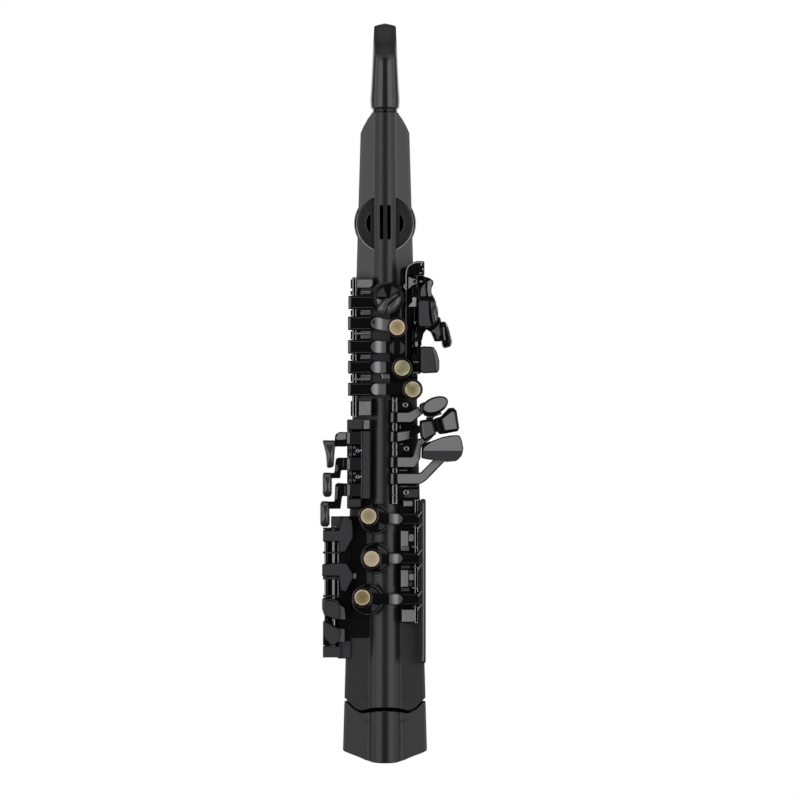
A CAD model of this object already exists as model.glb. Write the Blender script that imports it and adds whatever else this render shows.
# %% [markdown]
# # A digital wind controller in black
# A straight electronic saxophone stands upright with its keys towards the camera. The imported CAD
# model gives every size, place and joint. This scene builds the looks on top of it: finer shapes,
# rounded edges, finishes and light. Each piece rides on the CAD body that it belongs to.

# %% Load the frame
from math import acos, cos, pi, radians, sin, sqrt, tan

import bmesh
import bpy
import numpy as np
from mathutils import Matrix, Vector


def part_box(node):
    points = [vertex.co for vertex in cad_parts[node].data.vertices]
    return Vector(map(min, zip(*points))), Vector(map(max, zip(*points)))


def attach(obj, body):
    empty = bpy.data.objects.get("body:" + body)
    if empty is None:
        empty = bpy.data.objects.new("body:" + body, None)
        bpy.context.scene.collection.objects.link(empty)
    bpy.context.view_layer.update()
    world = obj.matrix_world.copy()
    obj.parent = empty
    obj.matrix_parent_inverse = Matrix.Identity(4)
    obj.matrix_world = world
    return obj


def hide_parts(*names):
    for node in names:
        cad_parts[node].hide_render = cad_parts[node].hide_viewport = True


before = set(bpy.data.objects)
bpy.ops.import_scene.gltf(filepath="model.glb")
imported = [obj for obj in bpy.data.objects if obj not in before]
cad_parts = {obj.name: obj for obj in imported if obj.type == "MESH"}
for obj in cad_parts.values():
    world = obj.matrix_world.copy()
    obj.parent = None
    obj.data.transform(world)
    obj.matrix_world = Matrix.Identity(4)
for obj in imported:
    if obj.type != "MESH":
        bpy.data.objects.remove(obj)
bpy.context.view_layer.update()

# %% [markdown]
# ## One ruler for everything
# The CAD file was drawn over a front view 800 pixels high, so its places are columns and rows of
# that view. Here the same ruler is made again: `across` and `along` give millimetres, and `place`
# moves a point to the frame, whose origin is the middle of the strap ring.

# %% The ruler
LENGTH, FRONT = 680, -22
TIP_ROW, FOOT_ROW, MIDDLE_COLUMN = 22.9, 761.8, 385
PIXEL = LENGTH / (FOOT_ROW - TIP_ROW)
RING_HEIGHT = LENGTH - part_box("mouthpiece")[1].z * 1000
RING_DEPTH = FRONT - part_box("key_guard")[0].y * 1000


def across(column):
    return (column - MIDDLE_COLUMN) * PIXEL


def along(row):
    return (FOOT_ROW - row) * PIXEL


def spot(column, row):
    return across(column), along(row)


def place(x, y, z):
    return (x / 1000, (y - RING_DEPTH) / 1000, (z - RING_HEIGHT) / 1000)


def sized(node):
    """Lowest and highest corner of a CAD node in the ruler's millimetres."""
    low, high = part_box(node)
    return [(p.x * 1000, p.y * 1000 + RING_DEPTH, p.z * 1000 + RING_HEIGHT) for p in (low, high)]


print("origin is", round(RING_HEIGHT, 2), "mm up and", round(RING_DEPTH, 2),
    "mm behind the middle of the body")

# %% [markdown]
# ## Solids from outlines
# Almost every part of an instrument like this is an outline with depth, or a turned shape. `loft`
# puts a skin over a stack of rings. `block` gives an outline depth with rounded edges, `turned`
# spins a profile and `wire` follows a path. A `Form` collects such solids, and its `slab` and
# `line` add the two most common ones: a softened outline with depth, and a fine raised line.

# %% Solids
EDGE_STEPS, TOUCH_STEPS, TILE_STEPS = 3, 7, 4  # levels in a rounded edge of each kind
POINT = 0.02  # a radius of nothing would leave faces without area


def loft(rings, caps=True):
    count = len(rings[0])
    points = [p for ring in rings for p in ring]
    faces = []
    for level in range(len(rings) - 1):
        for side in range(count):
            a, b = level * count + side, level * count + (side + 1) % count
            faces.append([a, b, b + count, a + count])
    if caps:
        faces.append(list(range(count))[::-1])
        faces.append([(len(rings) - 1) * count + side for side in range(count)])
    return points, faces


def soften(outline, radius, steps=5):
    """Rounds the corners of an outline."""
    made = []
    for i, corner in enumerate(outline):
        corner = np.array(corner, float)
        before = np.array(outline[i - 1], float) - corner
        after = np.array(outline[(i + 1) % len(outline)], float) - corner
        cut = min(radius, 0.45 * np.linalg.norm(before), 0.45 * np.linalg.norm(after))
        start = corner + before / np.linalg.norm(before) * cut
        end = corner + after / np.linalg.norm(after) * cut
        for step in range(steps + 1):
            t = step / steps
            made.append(tuple((1 - t) ** 2 * start + 2 * t * (1 - t) * corner + t * t * end))
    return made


def inset(outline, depth):
    """Moves every point of an outline inwards by depth."""
    points = np.array(outline, float)
    before = points - np.roll(points, 1, 0)
    after = np.roll(points, -1, 0) - points
    u, v = points.T
    turning = np.sum(u * np.roll(v, -1) - np.roll(u, -1) * v)
    side = 1 if turning > 0 else -1
    normals = []
    for edge in (before, after):
        length = np.maximum(np.linalg.norm(edge, axis=1, keepdims=True), 1e-9)
        normals.append(side * np.stack([-edge[:, 1], edge[:, 0]], 1) / length)
    middle = normals[0] + normals[1]
    length = np.maximum(np.linalg.norm(middle, axis=1, keepdims=True), 0.9)
    return [tuple(p) for p in points + middle / length * depth * 2 / length]


def rect(left, right, low, high):
    return [(left, low), (right, low), (right, high), (left, high)]


def arc(centre, radius, angles, side=1):
    """Points of a circle; side -1 turns it over to the left."""
    return [(centre[0] + side * radius * cos(a), centre[1] + radius * sin(a)) for a in angles]


def round_circle(count):
    return np.linspace(0, 2 * pi, count, endpoint=False)


def quarter(steps):
    return np.linspace(0, pi / 2, steps + 1)


def turn_to(way, u, v, w):
    if way == "front":
        return (u, w, v)
    if way == "along":
        return (u, v, w)
    return (w, u, v)


def block(outline, start, end, way="front", edges=(0.3, 0.5), crown=0.0):
    """Outline with depth from start to end, rounded by edges at both; crown swells the end."""
    sign = 1 if end > start else -1
    rings = []
    for angle in quarter(EDGE_STEPS):
        ring = inset(outline, edges[0] * (1 - sin(angle)))
        rings.append([turn_to(way, u, v, start + sign * edges[0] * (1 - cos(angle)))
            for u, v in ring])
    rim = end - sign * crown
    for angle in quarter(EDGE_STEPS):
        ring = inset(outline, edges[1] * (1 - cos(angle)))
        rings.append([turn_to(way, u, v, rim - sign * edges[1] * (1 - sin(angle)))
            for u, v in ring])
    if crown:
        last = np.array(inset(outline, edges[1]))
        middle = last.mean(0)
        for share in (0.85, 0.65, 0.42, 0.2, 0.05):
            ring = middle + (last - middle) * share
            rings.append([turn_to(way, u, v, rim + sign * crown * (1 - share**2)) for u, v in ring])
    return loft(rings)


def plain(outline, start, end):
    return block(outline, start, end, edges=(0, 0))


def mound(outline, rear, front, top, sides):
    """A touch whose rim narrows to the outline given by top(u, v) at the front."""
    rings = [[(u, rear, v) for u, v in inset(outline, 0.4)],
        [(u, rear - 0.4, v) for u, v in outline]]
    low = rear - sides
    shrunk = [top(u, v) for u, v in outline]
    for angle in quarter(TOUCH_STEPS):
        share = 1 - cos(angle)
        y = low + (front - low) * sin(angle)
        rings.append([(u + (s - u) * share, y, v + (t - v) * share) for (u, v),
            (s, t) in zip(outline, shrunk)])
    return loft(rings)


def turned(profile, centre, axis="y", sides=48):
    """Spins a profile, given as radii and places along the axis."""
    rings = []
    for radius, t in profile:
        circle = arc(centre, max(radius, POINT), round_circle(sides))
        rings.append([{"y": (u, t, v), "z": (u, v, t), "x": (t, u, v)}[axis] for u, v in circle])
    return loft(rings)


def wire(path, radius, sides=10, closed=False):
    """A round wire along a path of points."""
    path = [np.array(p, float) for p in path]
    rings = []
    for i, p in enumerate(path):
        before = path[i - 1] if closed or i else p
        after = path[(i + 1) % len(path)] if closed or i + 1 < len(path) else p
        way = (after - before) / np.linalg.norm(after - before)
        side = np.cross(way, (0.31, 0.87, 0.38))
        side /= np.linalg.norm(side)
        up = np.cross(way, side)
        rings.append([tuple(p + radius * (cos(a) * side + sin(a) * up))
            for a in round_circle(sides)])
    return loft([*rings, rings[0]], caps=False) if closed else loft(rings)


def box(left, right, top, foot):
    """A rectangle from columns and rows."""
    return rect(across(left), across(right), along(foot), along(top))


def traced(pixels):
    """An outline from columns and rows."""
    return [spot(c, r) for c, r in pixels]


print("solids ready")

# %% [markdown]
# ## From solids to pieces
# Edges that turn by more than an angle stay sharp and the rest is smooth, and large flat faces
# keep their own normals, so that a rounded edge catches light without making the flat face look
# dented.

# %% Pieces
SQUARE = 0.985  # a face that looks forward at least this squarely counts as a front
FLAT_FROM = 8  # a face with more corners than this is a flat cap


def facing(points, face):
    """How squarely a face looks to the front or rear, from 0 to 1."""
    ring = np.array([points[i] for i in face])
    normal = np.cross(ring, np.roll(ring, -1, 0)).sum(0)
    return abs(normal[1]) / max(np.linalg.norm(normal), 1e-9)


class Form:
    def __init__(self):
        self.points, self.faces, self.kinds = [], [], []

    def put(self, solid, kind=0, front=None):
        """Adds a solid; faces that look to the front can have a finish of their own."""
        start = len(self.points)
        points, faces = solid
        self.points += [place(*p) for p in points]
        for number, face in enumerate(faces):
            self.faces.append([start + i for i in face])
            flat = front is not None and (number == len(faces) - 1 or facing(points, face) > SQUARE)
            self.kinds.append(front if flat else kind)
        return self

    def slab(self, outline, radius, rear, front, edges=(0, 0.4), kind=0, face=None, steps=5):
        """Adds an outline with softened corners and depth from rear to front."""
        return self.put(block(soften(outline, radius, steps), rear, front, edges=edges), kind, face)

    def line(self, pixels, y, thick, kind):
        """Adds a fine raised line along an edge, from columns and rows."""
        return self.put(wire([(across(c), y, along(r)) for c, r in pixels], thick, 6), kind)

    def mesh(self, name):
        mesh = bpy.data.meshes.new(name)
        mesh.from_pydata(self.points, [], self.faces)
        mesh.polygons.foreach_set("material_index", self.kinds)
        work = bmesh.new()
        work.from_mesh(mesh)
        bmesh.ops.recalc_face_normals(work, faces=work.faces)
        work.to_mesh(mesh)
        work.free()
        return mesh


def linked(name, data):
    obj = bpy.data.objects.new(name, data)
    bpy.context.scene.collection.objects.link(obj)
    return obj


def shade(obj, sharp):
    obj.data.shade_smooth()
    obj.data.set_sharp_from_angle(angle=radians(sharp))
    weighted = obj.modifiers.new("even", "WEIGHTED_NORMAL")
    weighted.keep_sharp = True
    for face in obj.data.polygons:
        if len(face.vertices) > FLAT_FROM:
            face.use_smooth = False


def piece(name, form, finishes, body="body", stands_for=(), cuts=(), sharp=34):
    """Makes one object that rides on a body and stands for some of its CAD nodes."""
    obj = linked(name, form.mesh(name))
    for finish in finishes:
        obj.data.materials.append(finish)
    if cuts:
        carve(obj, cuts)
    shade(obj, sharp)
    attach(obj, body)
    if stands_for:
        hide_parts(*stands_for)


def carve(obj, cuts):
    """Takes solids away from a piece."""
    cutter = Form()
    for cut in cuts:
        cutter.put(cut)
    tool = linked("tool", cutter.mesh("tool"))
    taking = obj.modifiers.new("take", "BOOLEAN")
    taking.operation, taking.object = "DIFFERENCE", tool
    taking.solver, taking.use_self = "EXACT", True
    bpy.context.view_layer.update()
    made = bpy.data.meshes.new_from_object(obj.evaluated_get(bpy.context.evaluated_depsgraph_get()))
    obj.modifiers.clear()
    obj.data = made
    bpy.data.objects.remove(tool)


print("pieces ready")

# %% [markdown]
# ## Finishes
# The body is moulded plastic with a fine satin grain. The keys are black lacquer that mirrors the
# room, with satin faces where a finger or a screwdriver goes. `finish` makes one such material: a
# base colour, a little noise in its roughness and a very small bump, so that no surface is
# perfectly even. `add` makes one shader node with its links, and `ranged`, `blend` and `maths`
# are the three kinds used most.

# %% Finishes
def linear(*levels):
    """Display levels from 0 to 255 as the shader's linear colour."""
    rgb = levels * 3 if len(levels) == 1 else levels
    return (*[((v / 255 + 0.055) / 1.055) ** 2.4 if v > 10 else v / 255 / 12.92 for v in rgb], 1.0)


def feed(tree, node, inputs):
    """Fills inputs of a node with values, or links them to outputs of other nodes."""
    for key, value in inputs.items():
        if isinstance(value, bpy.types.NodeSocket):
            tree.links.new(value, node.inputs[key])
        else:
            node.inputs[key].default_value = value


def add(tree, kind, inputs=None, out=0, **settings):
    """Adds a shader node and gives back one of its outputs."""
    node = tree.nodes.new("ShaderNode" + kind)
    for key, value in settings.items():
        setattr(node, key, value)
    feed(tree, node, inputs or {})
    return node.outputs[out]


def ranged(tree, value, start=(0, 1), end=(0, 1), way="LINEAR"):
    """Maps a value from one range to another."""
    ends = {"From Min": start[0], "From Max": start[1], "To Min": end[0], "To Max": end[1]}
    return add(tree, "MapRange", {"Value": value, **ends}, interpolation_type=way)


def blend(tree, share, first, second):
    return add(tree, "Mix", {"Factor": share, "A": first, "B": second}, "Result", data_type="RGBA")


def maths(tree, operation, *values, kind="Math", out=0):
    return add(tree, kind, dict(enumerate(values)), out, operation=operation)


def split(tree, place, axis):
    return add(tree, "SeparateXYZ", {"Vector": place}, axis)


def paint(material, **inputs):
    """Feeds the material's shader; an underscore stands for a space in the name of an input."""
    tree = material.node_tree
    feed(tree, tree.nodes["Principled BSDF"], {key.replace("_", " "): value for key,
        value in inputs.items()})
    return material


GRAIN, CLOUDS = 1500, 40.0
VARY, TINT = 0.12, 0.08


def finish(name, colour, rough, metal=0.0, bump=0.12, coat=0.0, gloss=0.5):
    material = bpy.data.materials.new(name)
    material.use_nodes = True
    tree = material.node_tree
    place_on = add(tree, "TexCoord", out="Object")
    fine = add(tree, "TexNoise", {"Vector": place_on, "Scale": GRAIN, "Detail": 3.0})
    broad = add(tree, "TexNoise", {"Vector": place_on, "Scale": CLOUDS})
    tints = [(*[share * c for c in linear(*colour)[:3]], 1) for share in (1 - TINT, 1 + TINT)]
    return paint(material, Metallic=metal, Coat_Weight=coat, Coat_Roughness=0.08,
        Specular_IOR_Level=gloss, Roughness=ranged(tree, broad,
        end=(rough * (1 - VARY), rough * (1 + VARY))), Normal=add(tree, "Bump",
        {"Strength": bump, "Distance": 0.00003, "Height": fine}),
        Base_Color=blend(tree, fine, *tints))


gloss_black = finish("gloss_black", (5, 5, 5), 0.24, bump=0.05, gloss=0.24)
bright_black = finish("bright_black", (40, 40, 41), 0.24, bump=0.05, gloss=0.9)
strap_black = finish("strap_black", (24, 24, 25), 0.3, bump=0.05, gloss=0.3)
deep_black = finish("deep_black", (6, 6, 6), 0.55, gloss=0.1)
pit_black = finish("pit_black", (1, 1, 1), 0.9, gloss=0.0)
satin_black = finish("satin_black", (36, 36, 38), 0.36, gloss=0.4)
satin_dark = finish("satin_dark", (52, 51, 54), 0.42, gloss=0.4)
lower_wing = finish("lower_wing", (44, 44, 44), 0.45, gloss=0.36)
satin_mid = finish("satin_mid", (86, 86, 88), 0.4, gloss=0.4)
satin_grey = finish("satin_grey", (124, 124, 125), 0.45, gloss=0.4)
rim_grey = finish("rim_grey", (160, 160, 160), 0.4, gloss=0.4)
rubber_black = finish("rubber_black", (30, 30, 31), 0.62, bump=0.3)
rod_metal = finish("rod_metal", (128, 128, 130), 0.22, metal=1.0, bump=0.04)
dark_metal = finish("dark_metal", (60, 58, 56), 0.26, metal=1.0, bump=0.05)
screw_metal = finish("screw_metal", (176, 176, 178), 0.3, metal=1.0, bump=0.05)
blade_satin = finish("blade_satin", (66, 66, 67), 0.3, bump=0.05, gloss=0.8)
ring_gold = finish("ring_gold", (112, 92, 76), 0.3, metal=1.0, bump=0.04)


def sweep_finish(name, columns, dark, light):
    """Satin that is brightest between the middle two of four columns."""
    material = finish(name, light, 0.36, bump=0.05, gloss=0.5)
    tree = material.node_tree
    x = split(tree, add(tree, "TexCoord", out="Object"), "X")
    stops = [across(column) / 1000 for column in columns]
    shares = [ranged(tree, x, ends, way="SMOOTHSTEP") for ends in (stops[:2], stops[:1:-1])]
    return paint(material, Base_Color=blend(tree, maths(tree, "MULTIPLY", *shares), linear(*dark),
        linear(*light)))


upper_sweeps = {name: sweep_finish(name + "_sweep", (peak - 5.5, peak - 0.4, peak + 0.4, peak + 4),
    (70, 70, 71), (152, 152, 154)) for name, peak in (("b_key", 380), ("bis_key", 379),
    ("a_key", 377.8), ("g_key", 375.8))}
lower_sweep = sweep_finish("lower_sweep", (390.5, 396, 396.6, 399.5), (64, 64, 65), (136, 136, 138))
print("finishes:", len(bpy.data.materials))

# %% [markdown]
# The body shells get a finish of their own. The half-round ridge is polished and nearly black,
# the flat wings are matt and lighter, and the matt grey deepens towards the foot. The place on
# the body picks the finish.

# %% Shell finish
HALF_RIDGE_FOOT, HALF_RIDGE_TOP = 0.0146, 0.0094


def shell_finish(name, wing_top, wing_foot, ridge):
    material = finish(name, (60, 60, 60), 0.4, gloss=0.36)
    tree = material.node_tree
    x = split(tree, add(tree, "TexCoord", out="Object"), "X")
    z = x.node.outputs["Z"]
    foot, top, fall_foot, fall_top = [(along(row) - RING_HEIGHT) / 1000
        for row in (748, 133.7, 560, 300)]
    half_ridge = ranged(tree, z, (foot, top), (HALF_RIDGE_FOOT, HALF_RIDGE_TOP))
    beyond = maths(tree, "SUBTRACT", maths(tree, "ABSOLUTE", x), half_ridge)
    on_wing = ranged(tree, beyond, (-0.0012, 0.0008), way="SMOOTHSTEP")
    height = ranged(tree, z, (fall_foot, fall_top), way="SMOOTHSTEP")
    wing = blend(tree, height, linear(*wing_foot), linear(*wing_top))
    return paint(material, Base_Color=blend(tree, on_wing, linear(*ridge), wing),
        Roughness=ranged(tree, on_wing, end=(0.27, 0.5)))


shell = shell_finish("shell", (81, 81, 81), (46, 46, 46), (36, 36, 37))
cap_shell = shell_finish("cap_shell", (59, 59, 59), (59, 59, 59), (28, 28, 29))
print("shell finishes ready")

# %% [markdown]
# ## The pearls
# The finger pearls are slices of shell: a pale polished rim, a deeper olive and gold middle, and
# a soft cloud of pink and green. The distance from the middle of each pearl sets the rim, and
# noise gives the cloud.

# %% Pearl finish
def pearl_finish(name, middle, cloud, seed):
    material = finish(name, middle, 0.2, bump=0.05, coat=0.6)
    tree = material.node_tree
    box_place = add(tree, "TexCoord", out="Generated")
    centred = maths(tree, "SUBTRACT", box_place, (0.5, 0.5, 0.5), kind="VectorMath")
    flat = maths(tree, "MULTIPLY", centred, (2.0, 0.0, 2.0), kind="VectorMath")
    reach = maths(tree, "LENGTH", flat, kind="VectorMath", out="Value")
    disc = add(tree, "ValToRGB", {"Fac": reach})
    stops = disc.node.color_ramp.elements
    stops[0].position, stops[1].position = 0.15, 0.95
    for position in (0.7, 0.88):
        stops.new(position)
    paler = [min(255, level * 1.22) for level in middle]
    for stop, colour in zip(stops, (middle, paler, (196, 182, 156), (236, 226, 208))):
        stop.color = linear(*colour)
    noise = add(tree, "TexNoise", {"Vector": box_place.node.outputs["Object"], "W": seed,
        "Scale": 160.0, "Detail": 2.0}, noise_dimensions="4D")
    amount = ranged(tree, noise, (0.42, 0.66), (0, 0.65))
    return paint(material, Base_Color=blend(tree, amount, disc, linear(*cloud)))


pearl_looks = {letter + "_pearl": pearl_finish("pearl_" + letter, middle, cloud, seed) for letter,
    middle, cloud, seed in (("b", (140, 124, 90), (196, 168, 136), 1.0),
    ("a", (142, 138, 104), (110, 106, 66), 2.0), ("g", (140, 134, 102), (112, 96, 60), 3.0),
    ("f", (140, 134, 104), (166, 136, 104), 4.0), ("e", (158, 146, 116), (196, 176, 148), 5.0),
    ("d", (116, 100, 62), (150, 134, 100), 6.0))}
print("pearl finishes:", len(pearl_looks))

# %% [markdown]
# ## The body
# The body is a tapered shell: flat wings with a half-round ridge down the front and a half-oval
# back. Each level of the front shell is one ring, outside and inside, and the rings are stacked.
# The foot follows the wavy seam to the cap. The ridge runs into the wings with a small hollow
# curve, as a mould needs.

# %% Body levels
WALL = 2.5
WING_FACE, WING_ROUND = -8.0, 2.4  # depth of the flat wings, and the rounding of their edge
BED_REAR = -7.6  # the beds of the keys start just inside the wings
RIDGE_FOOT, RIDGE_TOP = 17, 12.3  # radius of the ridge at the foot and at the top
HOLLOW = 2.2  # size of the hollow curve between ridge and wing
SEAM_RING, FIRST_LEVEL, TAPER_LEVELS = 60, 66, 13
body_edge = [(113.3, 12.7), (119.4, 17.2), (126.5, 21.3), (133.7, 24.45), (748, 41.95), (762, 42.4)]
edge_heights = [along(row) for row, _ in body_edge][::-1]
edge_widths = [half * PIXEL for _, half in body_edge][::-1]
body_top, taper_top, taper_foot = along(113.3), along(133.7), along(748)


def half_width(z):
    return float(np.interp(z, edge_heights, edge_widths))


def ridge_radius(z):
    return RIDGE_FOOT + (RIDGE_TOP - RIDGE_FOOT) * z / body_top


def rear_depth(z):
    share = np.interp(z, [along(133.7), along(126.5), along(119.4), along(113.3)],
        [1, 0.94, 0.85, 0.72])
    return (14 + 6 * (taper_top - z) / (taper_top - taper_foot)) * float(share)


def front_ring(z):
    """Front outline of the body from right to left at height z."""
    radius, wide = ridge_radius(z), max(half_width(z), ridge_radius(z) + 0.2)
    flat = wide - WING_ROUND
    side = [(wide, -0.15), (wide, -3.0), (wide, WING_FACE + WING_ROUND)]
    side += [(flat + WING_ROUND * cos(angle), WING_FACE + WING_ROUND * (1 - sin(angle)))
        for angle in quarter(5)[1:5]]
    root = min(sqrt(radius**2 - WING_FACE**2) + 3.2, wide - 2.7)
    side += [(flat + (root - flat) * share, WING_FACE) for share in np.linspace(0, 1, 22)]
    ridge = []
    for x in np.linspace(root, -root, 47)[1:-1]:
        rise = sqrt(max(radius**2 - x * x, 0))
        near = max(HOLLOW - abs(rise + WING_FACE), 0) / HOLLOW
        ridge.append((float(x), -(max(rise, -WING_FACE) + near**2 * HOLLOW / 4)))
    return side + ridge + [(-x, y) for x, y in side[::-1]]


def rear_ring(z):
    wide, deep = max(half_width(z), 12.5), rear_depth(z)
    return [(wide * cos(angle), max(deep * sin(angle), 0.15)) for angle in np.linspace(0, pi, 57)]


def walled(ring, wall):
    """An open outline with its inside: offset points follow in reverse."""
    points = np.array(ring, float)
    way = np.gradient(points, axis=0)
    normal = np.stack([-way[:, 1], way[:, 0]], 1)
    normal /= np.maximum(np.linalg.norm(normal, axis=1, keepdims=True), 1e-9)
    middle = np.array([0.0, points[:, 1].mean() * 0.2])
    if np.sum(normal * (points - middle)) > 0:
        normal = -normal
    inner = points + normal * wall
    inner[0, 1], inner[-1, 1] = points[0, 1], points[-1, 1]
    return ring + [tuple(p) for p in inner[::-1]]


def wave(pixels):
    """A height over the width of the body, the same on both sides."""
    right = [(-across(c), along(r)) for c, r in pixels]
    xs, heights = zip(*sorted({(x, z) for x, z in right} | {(-x, z) for x, z in right}))
    return lambda x: float(np.interp(x, xs, heights))


shell_foot = wave([(344.9, 697.3), (347.5, 699.9), (350.7, 703), (354.5, 706.8), (358.2, 708.9),
    (360.6, 709.6), (363.2, 709.5), (367.5, 708.3), (373.2, 706.8), (379, 706.1), (385, 706)])
cap_top = wave([(344.9, 700.6), (350.6, 706.2), (354.5, 710), (356.8, 711.5), (359.4, 712.7),
    (361.5, 713), (366, 712.5), (371, 711.2), (376.5, 710.1), (385, 709.8)])
cap_foot = wave([(343.4, 749.9), (351, 753.1), (358.3, 755.8), (366.5, 759.5), (373.2, 761.3),
    (379, 761.8), (385, 761.8)])


def skin(ring_at, low, high, levels=46):
    """Stacks walled rings; low is a height, or the wavy seam that the first ring follows."""
    if callable(low):
        tapered = np.linspace(taper_top + 1.2, high, TAPER_LEVELS)
        heights = [None, *np.linspace(FIRST_LEVEL, taper_top, levels - 1 - TAPER_LEVELS), *tapered]
    else:
        heights = np.linspace(low, high, levels)
    rings = []
    for z in heights:
        flat = walled(ring_at(SEAM_RING if z is None else z), WALL)
        rings.append([(x, y, low(x) if z is None else z) for x, y in flat])
    return loft(rings, caps=False), len(rings[0])


def closed(solid, count):
    """Closes a walled skin at both ends with a strip between outside and inside."""
    points, faces = solid
    last = len(points) - count
    for start in (0, last):
        for i in range(count // 2 - 1):
            faces.append([start + i, start + i + 1, start + count - 2 - i, start + count - 1 - i])
    return points, faces


print("half width at the foot:", round(half_width(0), 1), "mm")

# %% Front shell
SIDES = (-1, 1)
speaker_z = along(223.6)
CROWN_X = 9.9


def dish_segment(side, radius, steps=28):
    reach = acos(CROWN_X / radius)
    return arc((0, speaker_z), radius, np.linspace(-reach, reach, steps), side)


front_form = Form().put(closed(*skin(front_ring, shell_foot, body_top)))
slot_box = [soften(box(*c, 205.7, 240.1), 1.6) for c in ((379.8, 383.3), (387.2, 390.8))]
front_cuts = [plain(slot, -5, -20) for slot in slot_box]
front_cuts += [plain(dish_segment(side, 25.8), -2, -12) for side in SIDES]
piece("front_shell_skin", front_form, [shell], stands_for=["front_shell"],
    cuts=front_cuts)
print("front shell done")

# %% [markdown]
# A thin bead runs round the speaker opening in the wings. It catches a line of light, which is
# what makes an opening read as an opening.

# %% Beads round the openings
beads = Form()
for side in SIDES:
    beads.put(wire([(x, WING_FACE, z) for x, z in dish_segment(side, 26.3, 40)
        if z < speaker_z - 3], 0.4))
piece("speaker_bead", beads, [rim_grey])
print("beads done")

# %% Rear shell
OUTSIDE = 40  # cuts run out past the rear
hook_z, lever_z, rest_z = along(522), along(481), along(307)
rear_form = Form().put(closed(*skin(rear_ring, shell_foot, body_top)))
door = soften(rect(-15.4, 15.4, along(688) - 0.4, along(566) + 0.4), 2.6)
rear_cuts = [plain(door, 3, OUTSIDE)]
for row in (150, 163.5, 175):
    rear_cuts.append(turned([(3.75, 3), (3.75, OUTSIDE)], (0, along(row)), "y", 32))
rear_cuts.append(plain(rect(-5.4, 5.4, lever_z - 9.2, lever_z + 9.2), 8, OUTSIDE))
piece("rear_shell_skin", rear_form, [satin_dark], stands_for=["rear_shell"],
    cuts=rear_cuts)
print("rear shell done")

# %% [markdown]
# ## Battery door, buttons and lever
# The door is a piece of the same oval back, with a thumb grip of fine ribs. The three buttons
# stand a little proud, and the lever is a rubber wheel with one fin for the thumb.

# %% Battery door
def door_ring(z):
    wide, deep = half_width(z), rear_depth(z)
    return [(float(x), deep * sqrt(1 - (x / wide) ** 2)) for x in np.linspace(15, -15, 25)]


door_solid, door_count = skin(door_ring, along(688), along(566), levels=24)
door_form = Form().put(closed(door_solid, door_count))
for rib in range(6):
    z = along(572) - 2.2 * rib
    y = rear_depth(z) - 0.35
    door_form.put(block(rect(-6, 6, z - 0.5, z + 0.5), y - 1, y + 0.9, edges=(0.1, 0.35)))
piece("battery_door", door_form, [satin_dark], "battery_cover", ["battery_cover"])
print("battery door done")

# %% Buttons and lever
for name in ("power_button", "plus_button", "minus_button"):
    low, high = sized(name)
    centre, face = ((low[0] + high[0]) / 2, (low[2] + high[2]) / 2), high[1]
    form = Form().put(turned([(0, low[1]), (3.4, low[1]), (3.4, face - 0.8), (3.2, face - 0.3),
        (2.7, face), (1.6, face - 0.15), (0, face - 0.35)], centre))
    piece(name + "_cap", form, [satin_black], name, [name])
low, high = sized("analog_lever")
centre = ((low[1] + high[1]) / 2 - 1.6, (low[2] + high[2]) / 2)
form = Form().put(turned([(7.9, -5), (8.7, -4.6), (9, -3.6), (9, 3.6), (8.7, 4.6), (7.9, 5)],
    centre, "x", 64))
for angle in range(-60, 61, 12):
    turn = radians(angle)
    y, z = centre[0] + 8.8 * cos(turn), centre[1] + 8.8 * sin(turn)
    form.put(turned([(0.1, -3.7), (0.45, -3.5), (0.45, 3.5), (0.1, 3.7)], (y, z), "x", 10))
form.put(block(rect(-4.2, 4.2, centre[1] - 1.3, centre[1] + 1.3), centre[0] + 7, high[1],
    edges=(0, 0.8)))
piece("lever_wheel", form, [rubber_black], "analog_lever", ["analog_lever"])
print("buttons and lever done")

# %% [markdown]
# ## The cap at the foot
# The cap closes the body below the wavy seam. Its collar goes up inside the shells and shows as a
# black line in the gap. At the back a flat panel holds two round sockets and one for a charging
# plug.

# %% Bottom cap
CAP_RING, TO_MIDDLE = 35, (0.02, 0.4, 0.8, 0.97)
outline = front_ring(CAP_RING)[::-1] + rear_ring(CAP_RING)[::-1]


def cap_ring(share, drawn=1.0):
    """A ring of the cap between its foot (0) and its top (1), drawn in towards the middle."""
    ring = []
    for x, y in outline:
        z = cap_foot(x * drawn) + (cap_top(x * drawn) - cap_foot(x * drawn)) * share
        grown = half_width(z) / half_width(CAP_RING) * drawn
        ring.append((x * grown, y * grown, z))
    return ring


cap_rings = [cap_ring(0.0, drawn) for drawn in TO_MIDDLE] + [cap_ring(0.008, 0.994)]
cap_rings += [cap_ring(share) for share in (0.03, 0.1, 0.25, 0.4, 0.55, 0.7, 0.85, 0.95)]
cap_rings += [cap_ring(0.99, 0.994)] + [cap_ring(1.0, drawn) for drawn in TO_MIDDLE[::-1]]
cap_form = Form().put(loft(cap_rings))
panel = soften(rect(-10, 10, along(744), along(722)), 2.5)
panel_z = along(733)
cap_cuts = [plain(panel, 16.6, OUTSIDE), plain(soften(rect(-3.9, 3.9, panel_z - 1.4, panel_z + 1.4),
    1.3), 13.4, OUTSIDE)]
cap_cuts += [turned([(1.9, 13.4), (1.9, OUTSIDE)], (x, panel_z), "y", 32) for x in (-7.2, 7.2)]
piece("bottom_cap_skin", cap_form, [cap_shell], stands_for=["bottom_cap"],
    cuts=cap_cuts)
collar_rings = []
for z in (along(706) - 13, along(706) + 8.5):
    ring = front_ring(z)[::-1] + rear_ring(z)[::-1]
    collar_rings.append([(x * (1 - 3.4 / half_width(z)), y * 0.74, z) for x, y in ring])
collar = Form().put(loft(collar_rings))
piece("cap_collar", collar, [pit_black])
fittings = Form()
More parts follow.
